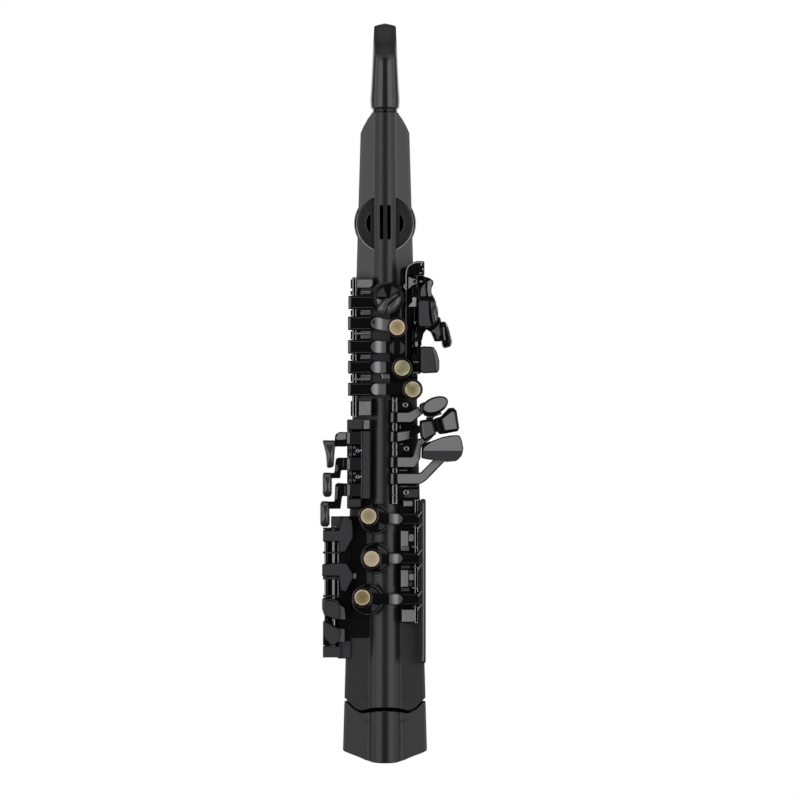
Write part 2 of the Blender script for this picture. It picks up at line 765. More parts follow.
for x in (-7.2, 7.2):
    fittings.put(turned([(1.95, 16.2), (1.95, 16.9), (2.15, 17.1), (2.6, 17.0), (2.8, 16.7),
        (2.8, 16.2)], (x, panel_z), "y", 32))
    fittings.put(turned([(0, 13.6), (0.9, 13.6), (0.9, 14.2), (0, 14.2)], (x, panel_z), "y", 16))
fittings.put(block(rect(-2.8, 2.8, panel_z - 0.35, panel_z + 0.35), 13.5, 16, edges=(0, 0.2)))
piece("socket_fittings", fittings, [screw_metal])
print("cap done")

# %% [markdown]
# ## Neck and mouthpiece
# A turned metal ring closes the body at the top, and the tenon above it carries the mouthpiece.
# The mouthpiece is polished black: round at its foot, drawn in towards the tip, with a flat beak
# in front that carries a soft patch for the teeth, and an air slot under the tip at the back.

# %% Neck ring
ring_low, ring_high = along(112.4), along(109.3)
neck = Form()
neck.put(turned([(8, ring_low - 9), (8, ring_low - 0.3), (11.1, ring_low - 0.3),
    (11.25, ring_low - 0.1), (11.25, ring_low + 0.6), (11.3, ring_low + 0.7),
    (11.3, ring_high - 0.9), (11.2, ring_high - 0.8), (11.2, ring_high + 0.2),
    (11.0, ring_high + 0.4), (7, ring_high + 0.4), (7, ring_high + 21.5), (6.4, ring_high + 22)],
    (0, 0), "z", 96))
piece("neck_ring", neck, [gloss_black], "body", ["neck_tenon"])
band = Form().put(turned([(10.9, ring_low + 0.8), (11.3, ring_low + 0.9), (11.42, ring_low + 1.2),
    (11.42, ring_high - 1.0), (11.3, ring_high - 0.7), (10.9, ring_high - 0.6)], (0, 0), "z", 96))
piece("neck_band", band, [dark_metal])
print("neck ring done")

# %% Mouthpiece
mouth_rows = np.array([109.2, 108.4, 106.8, 102.2, 98, 90, 80, 70, 56, 49, 42, 34, 27, 25, 23.4])
half_widths = np.array([12.2, 12.9, 13.35, 13.6, 13.55, 13.05, 12.55, 12.05, 11.45, 11.15, 10.9,
    10.45, 10.15, 10.0, 9.5])
fronts = np.array([-12, -12.55, -13.15, -13.55, -13.5, -13.0, -12.4, -11.95, -11.1, -8.4, -3.4,
    1.0, 4.6, 5.3, 5.9])
rears = np.array([12, 12.55, 13.15, 13.55, 13.5, 13.1, 12.6, 12.1, 11.3, 10.9, 10.2,
    9.2, 8.1, 7.8, 7.2])
mouth_heights = along(mouth_rows)


def mouth_size(z):
    return [float(np.interp(z, mouth_heights, values)) for values in (half_widths, fronts, rears)]


def mouth_point(angle, z, grown=0.0):
    wide, front, rear = mouth_size(z)
    middle, deep = (front + rear) / 2, (rear - front) / 2 + grown
    x = (wide + grown * 0.5) * cos(angle)
    tip = max(z - along(27), 0) / (along(22.9) - along(27))
    return (x, middle + deep * sin(angle), z - 2.4 * tip * (x / 10) ** 2)


mouth_rings = []
for z in mouth_heights:
    mouth_rings.append([mouth_point(angle, float(z)) for angle in round_circle(72)])
mouth_rings.append([(x * 0.5, (y - 6.5) * 0.6 + 6.5, z + 0.45) for x, y, z in mouth_rings[-1]])
mouth = Form().put(loft(mouth_rings))
mouth_black = finish("mouth_black", (24, 24, 25), 0.22, bump=0.04, coat=0.3)
mouth_cuts = [plain(soften(rect(-5.2, 5.2, along(38), along(25)), 1.5), 7.6, 20)]
piece("mouthpiece_body", mouth, [mouth_black], "mouthpiece", ["mouthpiece"],
    cuts=mouth_cuts, sharp=50)
print("mouthpiece done")

# %% Bite patch
WIDE, TALL = 26, 30  # faces of the patch across and along the beak
points = []
for share in np.linspace(-1, 1, WIDE + 1):
    low = along(59.2) + 2.8 * abs(share) ** 2.5
    for step in range(TALL + 1):
        z = low + (along(24.6) - low) * step / TALL
        border = min(1, (1 - abs(share)) * 7, step / 2, (TALL - step) / 1.5)
        points.append(mouth_point(share * 1.08 - pi / 2, z, 0.15 + 0.75 * sqrt(max(border, 0))))
starts = [row * (TALL + 1) + step for row in range(WIDE) for step in range(TALL)]
faces = [[a, a + 1, a + TALL + 2, a + TALL + 1] for a in starts]
patch = Form().put((points, faces))
patch_rubber = finish("patch_rubber", (30, 30, 30), 0.5, bump=0.2)
piece("bite_patch_pad", patch, [patch_rubber], "mouthpiece", ["bite_patch"], sharp=60)
print("bite patch done")

# %% [markdown]
# ## The speaker
# The grille is a turned dish with a deep rim. The ridge of the body runs across it, so only two
# dark segments show, each with a crescent slot for the sound. The rim stands out past the body's
# edge on both sides.

# %% Speaker grille
dish = Form().put(turned([(0, -4.9), (24.0, -4.9), (24.7, -5.2), (25.1, -5.9), (25.35, -6.4),
    (25.8, -6.6), (26.2, -6.4), (26.5, -5.6), (26.8, -5.3), (27.1, -5.5), (27.3, -6.1),
    (27.7, -6.45), (28.1, -6.35), (28.4, -5.9), (28.5, -5.2), (28.5, 4.8), (28.2, 5.3), (27.7, 5.5),
    (25.5, 5.5), (25.5, -3.0), (0, -3.0)], (0, speaker_z), "y", 160))


def crescent(side, grown=0.0):
    """A slice of a circle, straight towards the ridge."""
    return arc((side * 5.0, speaker_z), 12.3 + grown, np.linspace(-0.82, 0.82, 24), side)


piece("speaker_dish", dish, [satin_black], "body", ["speaker_grille"],
    cuts=[plain(crescent(side), 0, -12) for side in SIDES])
behind = Form().put(plain(rect(-23, 23, speaker_z - 17, speaker_z + 17), -2.6, -2.9))
behind.put(plain(box(376.5, 393.5, 203, 243), -9.6, -10.0))
piece("dust_mesh", behind, [pit_black])
rims = Form()
for radius, y, thick in ((28.05, -6.25, 0.42), (26.15, -6.35, 0.26)):
    circle = arc((0, speaker_z), radius, round_circle(160))
    rims.put(wire([(x, y, z) for x, z in circle], thick, 8, closed=True))
for side in SIDES:
    rims.put(wire([(x, -4.95, z) for x, z in crescent(side, 0.35)], 0.2, 6), 1)
piece("speaker_rims", rims, [rim_grey, satin_mid])
print("speaker done")

# %% [markdown]
# ## Rods, barrels and tongues
# Every key turns on a long steel rod. A barrel wraps the rod, a flat strap runs from it over the
# bed, and on the strap sits a tongue. The tongue starts round, sweeps up to the front and carries
# a cup with a pearl in it. These helpers make the stack keys, and the plates, pins and screws
# round them.

# %% Key helpers
BARREL = 3.1  # radius of the barrel round a stack rod
STRAP_LINES = -20.95  # depth of the fine lines along a strap


def rod(name, offset, y, rows, radius):
    """A steel rod with a slot in each end and a dark strip down its front."""
    low, high, middle = along(rows[1]), along(rows[0]), offset * PIXEL
    form = Form().put(turned([(radius * 0.5, low), (radius - 0.35, low), (radius, low + 0.35),
        (radius, high - 0.35), (radius - 0.35, high), (radius * 0.5, high)], (middle, y), "z", 32))
    slot = rect(middle - radius * 0.8, middle + radius * 0.8, y - 0.25, y + 0.25)
    for z, side in ((low, 1), (high, -1)):
        form.put(block(slot, z + 0.1 * side, z + 0.5 * side, "along", (0, 0)))
    strip = rect(middle - radius * 0.4, middle + radius * 0.4, low + 1, high - 1)
    form.put(block(strip, y, y - radius - 0.12, edges=(0, 0.15)), 1)
    piece(name + "_steel", form, [rod_metal if radius > 2 else dark_metal, pit_black],
        "body", [name])


def rail(form, x, y, side, rows, end, heel=BARREL, top=4.0, under=1.3, kind=0):
    """Barrel round a rod with a strap from it to end."""
    barrel = arc((0, 0), BARREL, np.linspace(0, pi, 15))
    if heel > BARREL:
        back = [(-heel, 1.1), (-heel, -2.0), (-heel + 0.25, -2.8), (-heel + 0.8, -3.5),
            (-heel + 1.5, -top + 0.08), (-heel + 2.2, -top)]
    else:
        back = [(-BARREL, 0.8 - top), (-2.9, 0.3 - top), (-2.4, -top)]
    reach = abs(end - x)
    front = [(reach - 0.5, -top), (reach, 0.4 - top), (reach, -under), (BARREL, -under)]
    outline = [(x + side * s, y + t) for s, t in barrel + back + front]
    form.put(block(outline, along(rows[1]), along(rows[0]), "along", (0.35, 0.35)), kind)


def tile(outline, rear, face, edge):
    """An outline whose front follows face(u, v), with a rounded rim."""
    rings = [[(u, rear, v) for u, v in outline]]
    for angle in quarter(TILE_STEPS):
        ring = inset(outline, edge * (1 - cos(angle)))
        rings.append([(u, face(u, v) + edge * (1 - sin(angle)), v) for u, v in ring])
    return loft(rings)


def section(half, top, under):
    """Section of a tongue: rounded edges and a slightly domed front."""
    edge, crown = min(0.9, half * 0.6), 0.3
    left = [(-half, under), (-half, top + edge)]
    left += [(-half + edge * (1 - cos(a)), top + edge * (1 - sin(a))) for a in (0.39, 0.79, 1.18)]
    middle = [(u * (half - edge), top - crown * (1 - u * u) * min(1, half / 3))
        for u in (-1, -0.6, -0.2, 0.2, 0.6, 1)]
    return left + middle + [(-u, v) for u, v in left[::-1]]


def tongue(form, x, y, side, rows, ramp, touch, kind):
    """Starts round on the strap, sweeps forward in a satin ramp and runs black to the touch."""
    start, end, last = [side * (across(c) - x) for c in (*ramp, touch[0])]
    half = (along(rows[0]) - along(rows[1])) / 2 - 0.8
    middle = (along(rows[0]) + along(rows[1])) / 2
    curve = [(2 * t * (1 - t) * 0.62 + t * t, -4.5 - 6 * t * t) for t in np.linspace(0, 1, 25)]
    shares, tops = zip(*curve)

    def ring(s):
        near = max(start + half - s, 0)
        wide = sqrt(max(half * half - near * near, 0.01))
        share = min(max((s - start) / (end - start), 0), 1)
        top = float(np.interp(share, shares, tops))
        lean = min(max((s - start - half) / (last - start - half), 0), 1)
        z = middle + (along(touch[1]) - middle) * lean
        return [(x + side * s, y + v, z + u) for u, v in section(wide, top, top + 2.8)]

    nose = [start + half * (1 - cos(a)) for a in np.linspace(0.12, pi / 2, 9)]
    form.put(loft([ring(s) for s in nose + list(np.linspace(start + half, end, 14)[1:])]), kind)
    form.put(loft([[(px, py + 0.12, pz) for px, py, pz in ring(s)]
        for s in (end - 0.4, end + 0.4, last)]))


def holder(form, centre, y, rear):
    """The cup under a pearl."""
    front = y - 12
    form.put(turned([(0, rear), (8.9, rear), (9.3, rear - 0.4), (9.3, front + 1.3),
        (9.2, front + 0.75), (8.95, front + 0.35), (8.6, front + 0.1), (8.2, front),
        (7.75, front + 0.1), (7.5, front + 0.4), (7.45, front + 2.6), (0, front + 2.6)],
        centre, "y", 72))


def pearl(name, key, centre, y):
    """A finger pearl with a thin gold ring round it."""
    rear = y - 9.3
    face = rear - 2.4
    form = Form().put(turned([(0, rear), (7.2, rear), (7.2, face + 0.8), (7.1, face + 0.4),
        (6.85, face + 0.12), (6.4, face), (5.6, face + 0.06), (4.4, face + 0.25),
        (3.0, face + 0.48), (1.5, face + 0.64), (0, face + 0.7)], centre, "y", 72))
    piece(name + "_disc", form, [pearl_looks[name]], key, [name], sharp=50)
    ring = [(x, y - 11.75, z) for x, z in arc(centre, 8.95, round_circle(72))]
    piece(name + "_ring", Form().put(wire(ring, 0.24, 8, closed=True)), [ring_gold], key)


def pin(form, left, right, row, y, radius):
    form.put(turned([(0, across(left)), (radius - 0.15, across(left)),
        (radius, across(left) + 0.15), (radius, across(right) - 0.15),
        (radius - 0.15, across(right)), (0, across(right))], (y, along(row)), "x", 16))


def screw(form, centre, face, radius, kind, turn):
    """A pale collar with a dark socket in it."""
    form.put(turned([(radius, face + 0.6), (radius, face + 0.1), (radius - 0.25, face - 0.25),
        (radius * 0.72, face - 0.4), (radius * 0.5, face - 0.3), (radius * 0.45, face + 0.3),
        (0, face + 0.3)], centre, "y", 28), kind)
    c, s = cos(turn), sin(turn)
    hexagon = arc((0, 0), radius * 0.46, np.arange(6) * pi / 3)
    form.put(plain([(centre[0] + u * c - v * s, centre[1] + u * s + v * c) for u, v in hexagon],
        face + 0.35, face - 0.12), kind + 1)


def rod_spot(name, column, row):
    return (rods[name][0] + column) * PIXEL, along(row)


def from_rod(name, pixels):
    return [rod_spot(name, c, r) for c, r in pixels]


def rod_box(name, left, right, top, foot):
    return from_rod(name, [(left, foot), (right, foot), (right, top), (left, top)])


def bars(form, rod_name, table):
    """Adds a slab for each row: left, right, top, foot, corner, rear, front, edge, face."""
    for *sides, corner, rear, front, edge, face in table:
        outline = rod_box(rod_name, *sides) if rod_name else box(*sides)
        form.slab(outline, corner, rear, front, (0, edge), 0, face)


def towards(outline, share, shift):
    """Front outline of a pillow: the rear one drawn towards its middle."""
    middle = np.array(outline).mean(0)
    return lambda u, v: tuple(middle + (np.array([u, v]) - middle) * share + np.array(shift))


rods = {"upper": (-30.3, -17, (277.8, 417), 2.3), "palm": (30.4, -17, (270, 376), 1.8),
    "pinky": (9.9, -18, (399.5, 503.6), 2.3), "side": (-34.5, -14, (423, 503), 1.8),
    "lower": (31.5, -17, (499, 622), 2.3), "corner": (-58.5, -10, (527.8, 652), 1.8)}
for name, values in rods.items():
    rod(name + ("_stack_rod" if name in ("upper", "lower") else "_key_rod"), *values)
hinges = [(offset * PIXEL, y) for offset, y, *_ in rods.values()]
(upper_x, upper_y), (palm_x, palm_y), (pinky_x, pinky_y) = hinges[:3]
(side_x, side_y), (lower_x, lower_y), (corner_x, corner_y) = hinges[3:]
print("rods done")

# %% [markdown]
# ## Upper stack
# The left hand's stack sits on a bed beside its rod. Posts between the barrels hold the rod, and
# short bright pins show between the straps.

# %% Upper bed
bed = Form()
bed.slab(traced([(361.2, 398.4), (361.2, 277.6), (371.6, 277.6), (371.8, 290.6), (373.6, 287.4),
    (377, 284.6), (381.6, 282.9), (390, 282.4), (390, 398.4)]), 0.8, BED_REAR, -15.5, (0, 0.6))
bed.slab(traced([(388, 398.4), (388, 282.2), (394, 283.4), (399.8, 286.6), (400.2, 270),
    (404.4, 267), (404.4, 398.4)]), 0.8, BED_REAR, -15.3, (0, 0.6), 3)
for outline in ([(395.8, 293.4), (395.8, 285.6), (400.2, 286.6), (400.2, 294.6)],
        [(397.8, 317), (400.2, 309), (400.2, 317)]):
    bed.slab(traced(outline), 0.4, -15, -15.9, (0, 0.3), 3, 0)
bed.line([(400.8, 286.6), (400.8, 295)], -15.6, 0.3, 1)
bed.line([(400.8, 307), (400.8, 318)], -15.6, 0.3, 1)
bed.slab(box(358.8, 371.8, 397.4, 416), 0.8, BED_REAR, -15.5, (0, 0.5))
upper_posts = [(357, 373.4, 279.9, 288.9), (360.5, 371.6, 291.4, 295.4),
    (360.5, 371.6, 310.4, 316.1), (360.5, 371.6, 331.3, 339.6), (360.5, 371.6, 354.8, 360.1),
    (360.5, 371.6, 374.7, 382), (358.8, 371.8, 401, 416)]
for number, (left, right, top, foot) in enumerate(upper_posts):
    outline = box(left, right, top, foot)
    if number == 0:
        outline = [outline[0], spot(right - 3, foot), spot(right, foot - 3), *outline[2:]]
    bed.slab(outline, 0.7, -14, -18.4, (0, 0.8), 3, 1 if number in (0, 6) else 2)
    bed.line([(left + 0.7, foot - 0.6), (left + 0.7, top + 0.6),
        (right - 0.8, top + 0.6)], -18.35, 0.2, 4)
    saddle = rect(upper_x - 3.6, across(left) + 2, along(foot), along(top))
    bed.slab(saddle, 0.5, BED_REAR, -16.6, (0, 0.4), 3)
piece("upper_bed", bed, [satin_dark, satin_grey, satin_mid, deep_black, rim_grey], "body",
    ["upper_key_bed"])
trim = Form()
for row in (334, 379.6):
    pin(trim, 353.5, 370.4, row, -19.6, 1.0)
    for column in (353.6, 357.6):
        trim.put(turned([(0, -19), (1.1, -19), (1.1, -20.5), (0.8, -20.8), (0, -20.8)],
            spot(column, row), "y", 20))
trim.slab(traced([(382.5, 379), (389.5, 379), (389.5, 374.5), (381.5, 373.5)]), 0.4, -15, -17.5)
piece("upper_trim", trim, [screw_metal, pit_black])
print("upper bed done")

# %% Upper keys
upper_keys = {"b_key": ((316.8, 330.6), (397.2, 327.9)),
    "bis_key": ((340.3, 354.1), (397.2, 348.4)), "a_key": ((360.8, 374), (402.1, 368.2)),
    "g_key": ((382.7, 396), (412.6, 389.5))}


def strap_lines(form, left, right, rows, kind):
    for row in (rows[0] + 1.5, rows[1] - 1.5):
        form.line([(left, row), (right, row)], STRAP_LINES, 0.18, kind)


def heel(form, column, rows, kind):
    """The pale end of a key behind its rod."""
    form.slab(box(column, column + 3.2, rows[0] + 0.2, rows[1] - 0.2), 0.8, upper_y + 1,
        upper_y - 4.4, (0.3, 0.9), 0, kind)


for name, (rows, touch) in upper_keys.items():
    form = Form()
    end = across(371) + (along(rows[0]) - along(rows[1])) / 2
    rail(form, upper_x, upper_y, 1, rows, end, heel=5.2)
    heel(form, 348.2, rows, 2)
    strap_lines(form, 352.5, 371, rows, 3)
    tongue(form, upper_x, upper_y, 1, rows, (371, 386 if name != "b_key" else 392), touch, 1)
    centre = spot(*touch)
    if name == "b_key":
        form.put(turned([(0, -21.4), (1.5, -21.4), (1.5, -22), (1.1, -22.3), (0.8, -22.1),
            (0, -22)], spot(373.6, 322.7), "y", 24))
    if name == "bis_key":
        form.put(turned([(0, -24.6), (6.9, -24.6), (7.3, -25), (7.3, -27.4), (7.1, -27.9),
            (6.6, -28.2), (5.9, -28.2), (5.3, -27.9), (3.5, -27.6), (0, -27.5)], centre, "y", 72))
        for side in SIDES:
            form.put(block(arc(centre, 6.7, np.linspace(-1.16, 1.16, 20), side), -27, -28.35,
                edges=(0, 0.5)), 0, 4)
    else:
        holder(form, centre, upper_y, -24.6)
        pearl(name[0] + "_pearl", name, centre, upper_y)
    piece(name + "_lever", form, [gloss_black, upper_sweeps[name], satin_grey, satin_mid,
        satin_dark], name, [name])

form = Form()
front_f = spot(388.9, 299)
rail(form, upper_x, upper_y, 1, (296.4, 309.7), front_f[0] - 6, heel=5.2)
heel(form, 348.6, (296.4, 309.7), 1)
strap_lines(form, 352.5, 374, (296.4, 309.7), 3)
form.put(turned([(0, -19.5), (13.5, -19.5), (13.9, -19.9), (13.9, -21.3), (13.7, -21.7),
    (13.2, -22), (12.5, -22), (11.9, -21.6), (7, -21.2), (0, -21.1)], front_f, "y", 96))


def wedge(start, stop, inner=1.5):
    """Part of a disc between two angles in degrees, from the right and anticlockwise."""
    angles = np.radians(np.linspace(start, stop, 12))
    return arc(front_f, 11.6, angles) + arc(front_f, inner, [radians((start + stop) / 2)])


form.put(block(wedge(116, 174), -21, -22.3, edges=(0, 0.5)), 0, 4)
form.put(block(wedge(178, 214, 6), -21, -22.9, edges=(0, 0.5)), 4, 1)
form.put(block(wedge(36, 78), -21, -22.3, edges=(0, 0.5)), 0, 4)
blade = soften(traced([(397.1, 293.6), (393.8, 294.9), (389.6, 298), (384, 299.6), (379.9, 304),
    (376.8, 309.8), (378.5, 313.4), (382, 315.2), (385, 315.2), (385.3, 309), (387.2, 305.6),
    (393.7, 299.6), (399, 295.4)]), 1.2, 4)
leaf = soften(traced([(399.6, 296), (401.8, 296.6), (402, 299.5), (399.8, 306), (394.5, 312.4),
    (389, 315.4), (386.4, 315.6), (386.4, 309.6), (388.2, 306.3), (394.5, 300.6)]), 1.2, 4)
form.put(mound(blade, -20, -27.6, towards(blade, 0.45, (1.4, 1.2)), 2.0), 2)
form.put(mound(leaf, -20, -28, towards(leaf, 0.4, (-1.2, 1.0)), 2.0), 2)
piece("front_f_lever", form, [gloss_black, satin_grey, blade_satin, satin_mid, satin_dark],
    "front_f_key", ["front_f_key"])
print("upper keys done")

# %% [markdown]
# ## Palm keys
# Three keys for the side of the left hand turn on a thin rod at the right. Their touches are
# pillows: the rim narrows towards the front, and the face is slightly domed, so that the palm
# rolls over them.

# %% Palm base
base = Form()
bars(base, "palm", [(-10.3, 2.2, 268, 399.4, 1, BED_REAR, -13, 0.6, None)])
base.slab(traced([(412, 302), (412, 276), (424.6, 276), (425, 283), (421, 290), (419.4, 302)]), 0.6,
    BED_REAR, -9.8, (0, 0.6))
base.slab(box(412, 418.5, 301, 345.4), 0.6, BED_REAR, -9.8, (0, 0.6))
for right, top, foot in ((421.5, 326, 346), (420.5, 345, 374)):
    base.slab(box(414, right, top, foot), 0.6, -0.6, -3.4, (0.3, 0.4))
hood = from_rod("palm", [(-8.5, 275.9), (-8.5, 268), (-3.9, 264), (0.6, 261.8),
    (9, 261.8), (9, 275.9)])
base.slab(hood, 1.5, BED_REAR, -20.9, (0, 1.1), 1)
lug = traced([(407.4, 290.4), (407.6, 276.4), (412.8, 278.4), (416.6, 279.4), (418, 281.6),
    (417, 285), (412.4, 287), (409.4, 290)])
base.slab(lug, 0.7, BED_REAR, -21.2, (0, 0.9), 1, 3)
bars(base, "palm", [(-3.9, 2.2, top, foot, 0.6, BED_REAR, -17, 0.5, 4) for top,
    foot in ((298, 303), (344.3, 348.4), (369, 377))])
base.slab(traced([(407.6, 307.2), (412.2, 302), (412.2, 298), (416, 298), (416.2, 307.2)]), 0.4,
    -12.5, -21, (0, 0.4), 5)
for outline in ([(413.4, 322), (416.2, 322.2), (415, 325.6)],
        [(415.4, 342), (417.6, 342.4), (417.6, 347), (415, 346.6)]):
    base.slab(traced(outline[::-1]), 0.3, -12.5, -20.9, (0, 0.4), 5)
piece("palm_base", base, [deep_black, gloss_black, satin_mid, satin_grey, satin_dark, rim_grey],
    "body", ["palm_key_base"])
trim = Form()
screw(trim, spot(414.7, 282.2), -21.2, 1.6, 1, 1.1)
trim.put(turned([(1.3, -19), (1.3, -20.6), (0.9, -21), (0, -21)], spot(420.7, 282.2), "y", 24))
for row in (362.5, 373):
    pin(trim, 413.2, 418.5, row, -20.4, 0.6)
trim.line([(405.9, 357), (405.9, 291.4)], -13.3, 0.26, 3)
trim.line([(406.1, 291), (406, 276), (406.6, 270.5), (408.6, 266.8), (411.6, 264.8), (416, 263.4),
    (423.4, 262.9)], -21.2, 0.42, 3)
for points in ([(405.4, 289.5), (403.9, 287.2), (405, 284.8)], [(421.6, 263.6), (421, 266.6)],
        [(422.4, 269), (423, 271)], [(419.6, 274.2), (421.8, 273.4)]):
    trim.line(points, -21.2, 0.5, 3)
piece("palm_trim", trim, [screw_metal, gloss_black, pit_black, rim_grey])
print("palm base done")

# %% Palm keys
form = Form()
rail(form, palm_x, palm_y, 1, (287.6, 297), palm_x + BARREL, top=3.1, under=0)
form.slab(box(416.9, 421.5, 297.4, 329.6), 0.8, -13.8, -16.4)
arm = [(420.2, 289.3), (424.2, 277.2), (429.2, 278.4), (433.2, 281.4), (433.4, 285), (431.3, 288.4),
    (431.5, 294), (434.5, 299), (436.5, 304.5), (420.5, 304.5), (417, 297),
    (415.4, 296.6), (415.4, 288)]
form.slab(traced(arm[::-1]), 1.4, -14.6, -19.8, (0.5, 1.2))
bands = {1: [(420.4, 297), (420.8, 289.4), (423.6, 285.4), (425.8, 283), (425.6, 297)],
    4: [(428.2, 297), (427.2, 290), (427.4, 282), (430.8, 280.6), (432.4, 283), (431, 286.5),
    (430.4, 291), (431.4, 297)]}
for kind, outline in bands.items():
    form.slab(traced(outline[::-1]), 0.9, -18.5, -20.5, (0, 0.7), kind)
left_face = soften(traced([(418.2, 302.4), (420, 300.6), (428.6, 300.4), (429.3, 308), (429.9, 317),
    (432, 326), (430.5, 327.8), (420.4, 327.8), (418.4, 325.5)]), 1.2, 4)
form.put(tile(left_face, -13.6, lambda u, v: -24.6 + 0.12 * (u - across(424)), 1.2), 0, 2)
seam = traced([(427.4, 302), (431, 301.6), (434, 326.6), (428.6, 326.8)])
form.slab(seam[::-1], 0.6, -14, -21.4, (0.3, 0.5))
lens = soften(traced([(428.9, 300.2), (433.2, 300), (436.7, 305.6), (438.2, 313.5), (437, 322),
    (434, 327.8), (432.4, 326.6), (430.4, 317), (429.6, 308)]), 1.2, 5)
form.put(mound(lens, -13.6, -26, towards(lens, 0.2, (0.2, -4.5)), 3.4), 3)
form.line([(434.4, 302.5), (437.2, 308.5), (437.7, 316), (436.2, 322.5)], -22.6, 0.4, 1)
piece("palm_d_lever", form, [gloss_black, satin_mid, satin_dark, bright_black, satin_grey],
    "palm_d_key", ["palm_d_key"])

form = Form()
rail(form, palm_x, palm_y, 1, (355.5, 366), palm_x + BARREL, top=3.1, under=0)
form.slab(from_rod("palm", [(0, 355.6), (8.6, 355.6), (8.6, 365.8), (0, 365.8)]), 1, -14.6,
    -20.5, (0.3, 0.5))
form.slab(box(418.4, 421.5, 346.8, 373), 0.8, -13.8, -16.4)
left_face = soften(traced([(420.2, 348.4), (422, 346.6), (432, 346.9), (434.6, 358), (437, 373),
    (422, 373.6), (420.2, 371)]), 1.2, 4)
form.put(tile(left_face, -13.6, lambda u, v: -24.9 + 0.08 * (u - across(427)), 1.3), 0, 1)
bevel = soften(traced([(432.2, 346.9), (433.4, 347.1), (436.8, 352.4), (439.3, 361.4), (439.1, 370),
    (437.2, 373.2), (436.4, 372), (434.8, 358)]), 0.8, 4)
form.put(tile(bevel, -13.6, lambda u, v: -24.6 + 0.55 * (u - across(433.5)), 0.7), 0, 2)
form.line([(432.5, 348), (434.9, 358), (437, 371.6)], -24.7, 0.3, 3)
piece("palm_e_flat_lever", form, [gloss_black, satin_dark, satin_mid, satin_grey],
    "palm_e_flat_key", ["palm_e_flat_key"])

form = Form()
rail(form, palm_x, palm_y, 1, (330, 341.4), palm_x + BARREL, top=3.1, under=0)
form.slab(from_rod("palm", [(0, 330.4), (10.5, 330.4), (8, 334), (6.5, 341), (0, 341)]), 0.8, -14.6,
    -20.5, (0.3, 0.5))
web = [(5, 340.6), (5, 326), (14, 317), (24, 317), (27.6, 330), (27.6, 335.5), (25.6, 341.6),
    (19.1, 341.8), (15.2, 332.5), (11, 329.8), (8, 334), (6.5, 340.6)]
form.slab(from_rod("palm", web), 0.5, -6.8, -10.2, (0.3, 0.3))
form.slab(traced([(414.8, 338), (414.8, 333.5), (416.6, 333.5), (416.4, 337.6)]), 0.3, -19.6,
    -20.9, (0, 0.4), 1)
form.slab(from_rod("palm", [(5, 330.4), (10.5, 330.4), (8, 334), (6.5, 340.6), (5, 340.6)]), 0.4,
    -6.8, -20.4, (0, 0.3))
riser = [(15.6, 333), (19.5, 329.8), (22.8, 324.5), (24.6, 318), (27.6, 330), (27.6, 335.5),
    (25.6, 341.6), (19.1, 341.8)]
form.slab(from_rod("palm", riser), 0.8, -6.8, -19.4, (0.3, 0.8))
face = soften(traced([(430.4, 331.6), (434.4, 329.6), (437.8, 325.6), (439.4, 322), (441, 331),
    (440.6, 336), (438.6, 340.4), (436.6, 339.2), (434, 333.5)][::-1]), 0.8)
form.put(tile(face, -15, lambda u, v: -20.4 + 0.1 * (u - across(438)), 0.6), 1)
form.put(tile(soften(traced([(437.8, 328), (439, 325.6), (440.6, 331), (440.2, 336), (438.8, 338.6),
    (437.8, 334)][::-1]), 0.6), -20, lambda u, v: -21.5, 0.5), 2)
pad = soften(from_rod("palm", [(23.4, 327), (25, 322), (29.8, 321.6), (32.8, 327), (36.5, 343),
    (35.6, 346.8), (28.6, 349), (26.2, 346)]), 2.4, 6)
form.put(mound(pad, -13.6, -26, towards(pad, 0.6, (-0.5, 0)), 2.0))
form.line([(443.2, 328), (443.6, 334), (444.6, 340.5)], -25.9, 0.6, 2)
form.line([(447.4, 327.5), (449.2, 333), (451, 340), (451.4, 344)], -23.2, 0.34, 1)
form.line([(441.6, 346.2), (446, 345.8), (450, 344.8)], -22.8, 0.26, 3)
piece("palm_f_lever", form, [gloss_black, satin_mid, satin_grey, satin_dark],
    "palm_f_key", ["palm_f_key"])
print("palm keys done")

# %% [markdown]
# ## Pinky table
# Four levers for the left little finger share one rod. Each has a flat satin arm, a stem under it
# and a large touch with a bevelled rim, and the touches lie side by side like tiles.

# %% Pinky base
base = Form()
base.slab(from_rod("pinky", [(-6.9, 399.7), (9.7, 399.7), (18.1, 405.5), (18.1, 484.6),
    (24.4, 485.6), (24.4, 498.2), (4.7, 498.2), (4.7, 504), (-6.9, 504)][::-1]), 1, BED_REAR,
    -14.6, (0, 0.6))
bars(base, "pinky", [(-4.9, 8.1, top, foot, 0.6, -14, -17.6, 0.5, None) for top,
    foot in ((400, 410.4), (424.2, 429.6), (443.4, 454.9), (468.8, 471.3), (485.4, 498))])
bars(base, None, [(403.5, 418.9, 488.4, 497.6, 0.8, -14, -16.6, 0.6, 1),
    (404, 418.6, 485.6, 487, 0.4, -14, -17.4, 0.4, 2), (399.2, 401.2, 424.6, 429.2, 0.4, -14,
    -20.2, 0.5, 3)])
base.slab(traced([(412, 425.4), (424, 425.4), (433.4, 419), (439, 418.6), (440, 430),
    (435.6, 432.6), (424, 431), (412, 431)][::-1]), 0.8, -10.4, -13, (0.3, 0.4))
piece("pinky_base", base, [deep_black, satin_dark, satin_mid, satin_grey], "body",
    ["pinky_key_base"])
trim = Form()
for c, r in ((10.5, 404.9), (11.5, 448.4), (11.1, 492)):
    screw(trim, rod_spot("pinky", c, r), -17, 2.5, 0, r)
for row, left, right in ((444, 399.5, 403), (470, 399, 407), (486, 399.4, 407)):
    pin(trim, left, right, row, -19.4, 0.8)
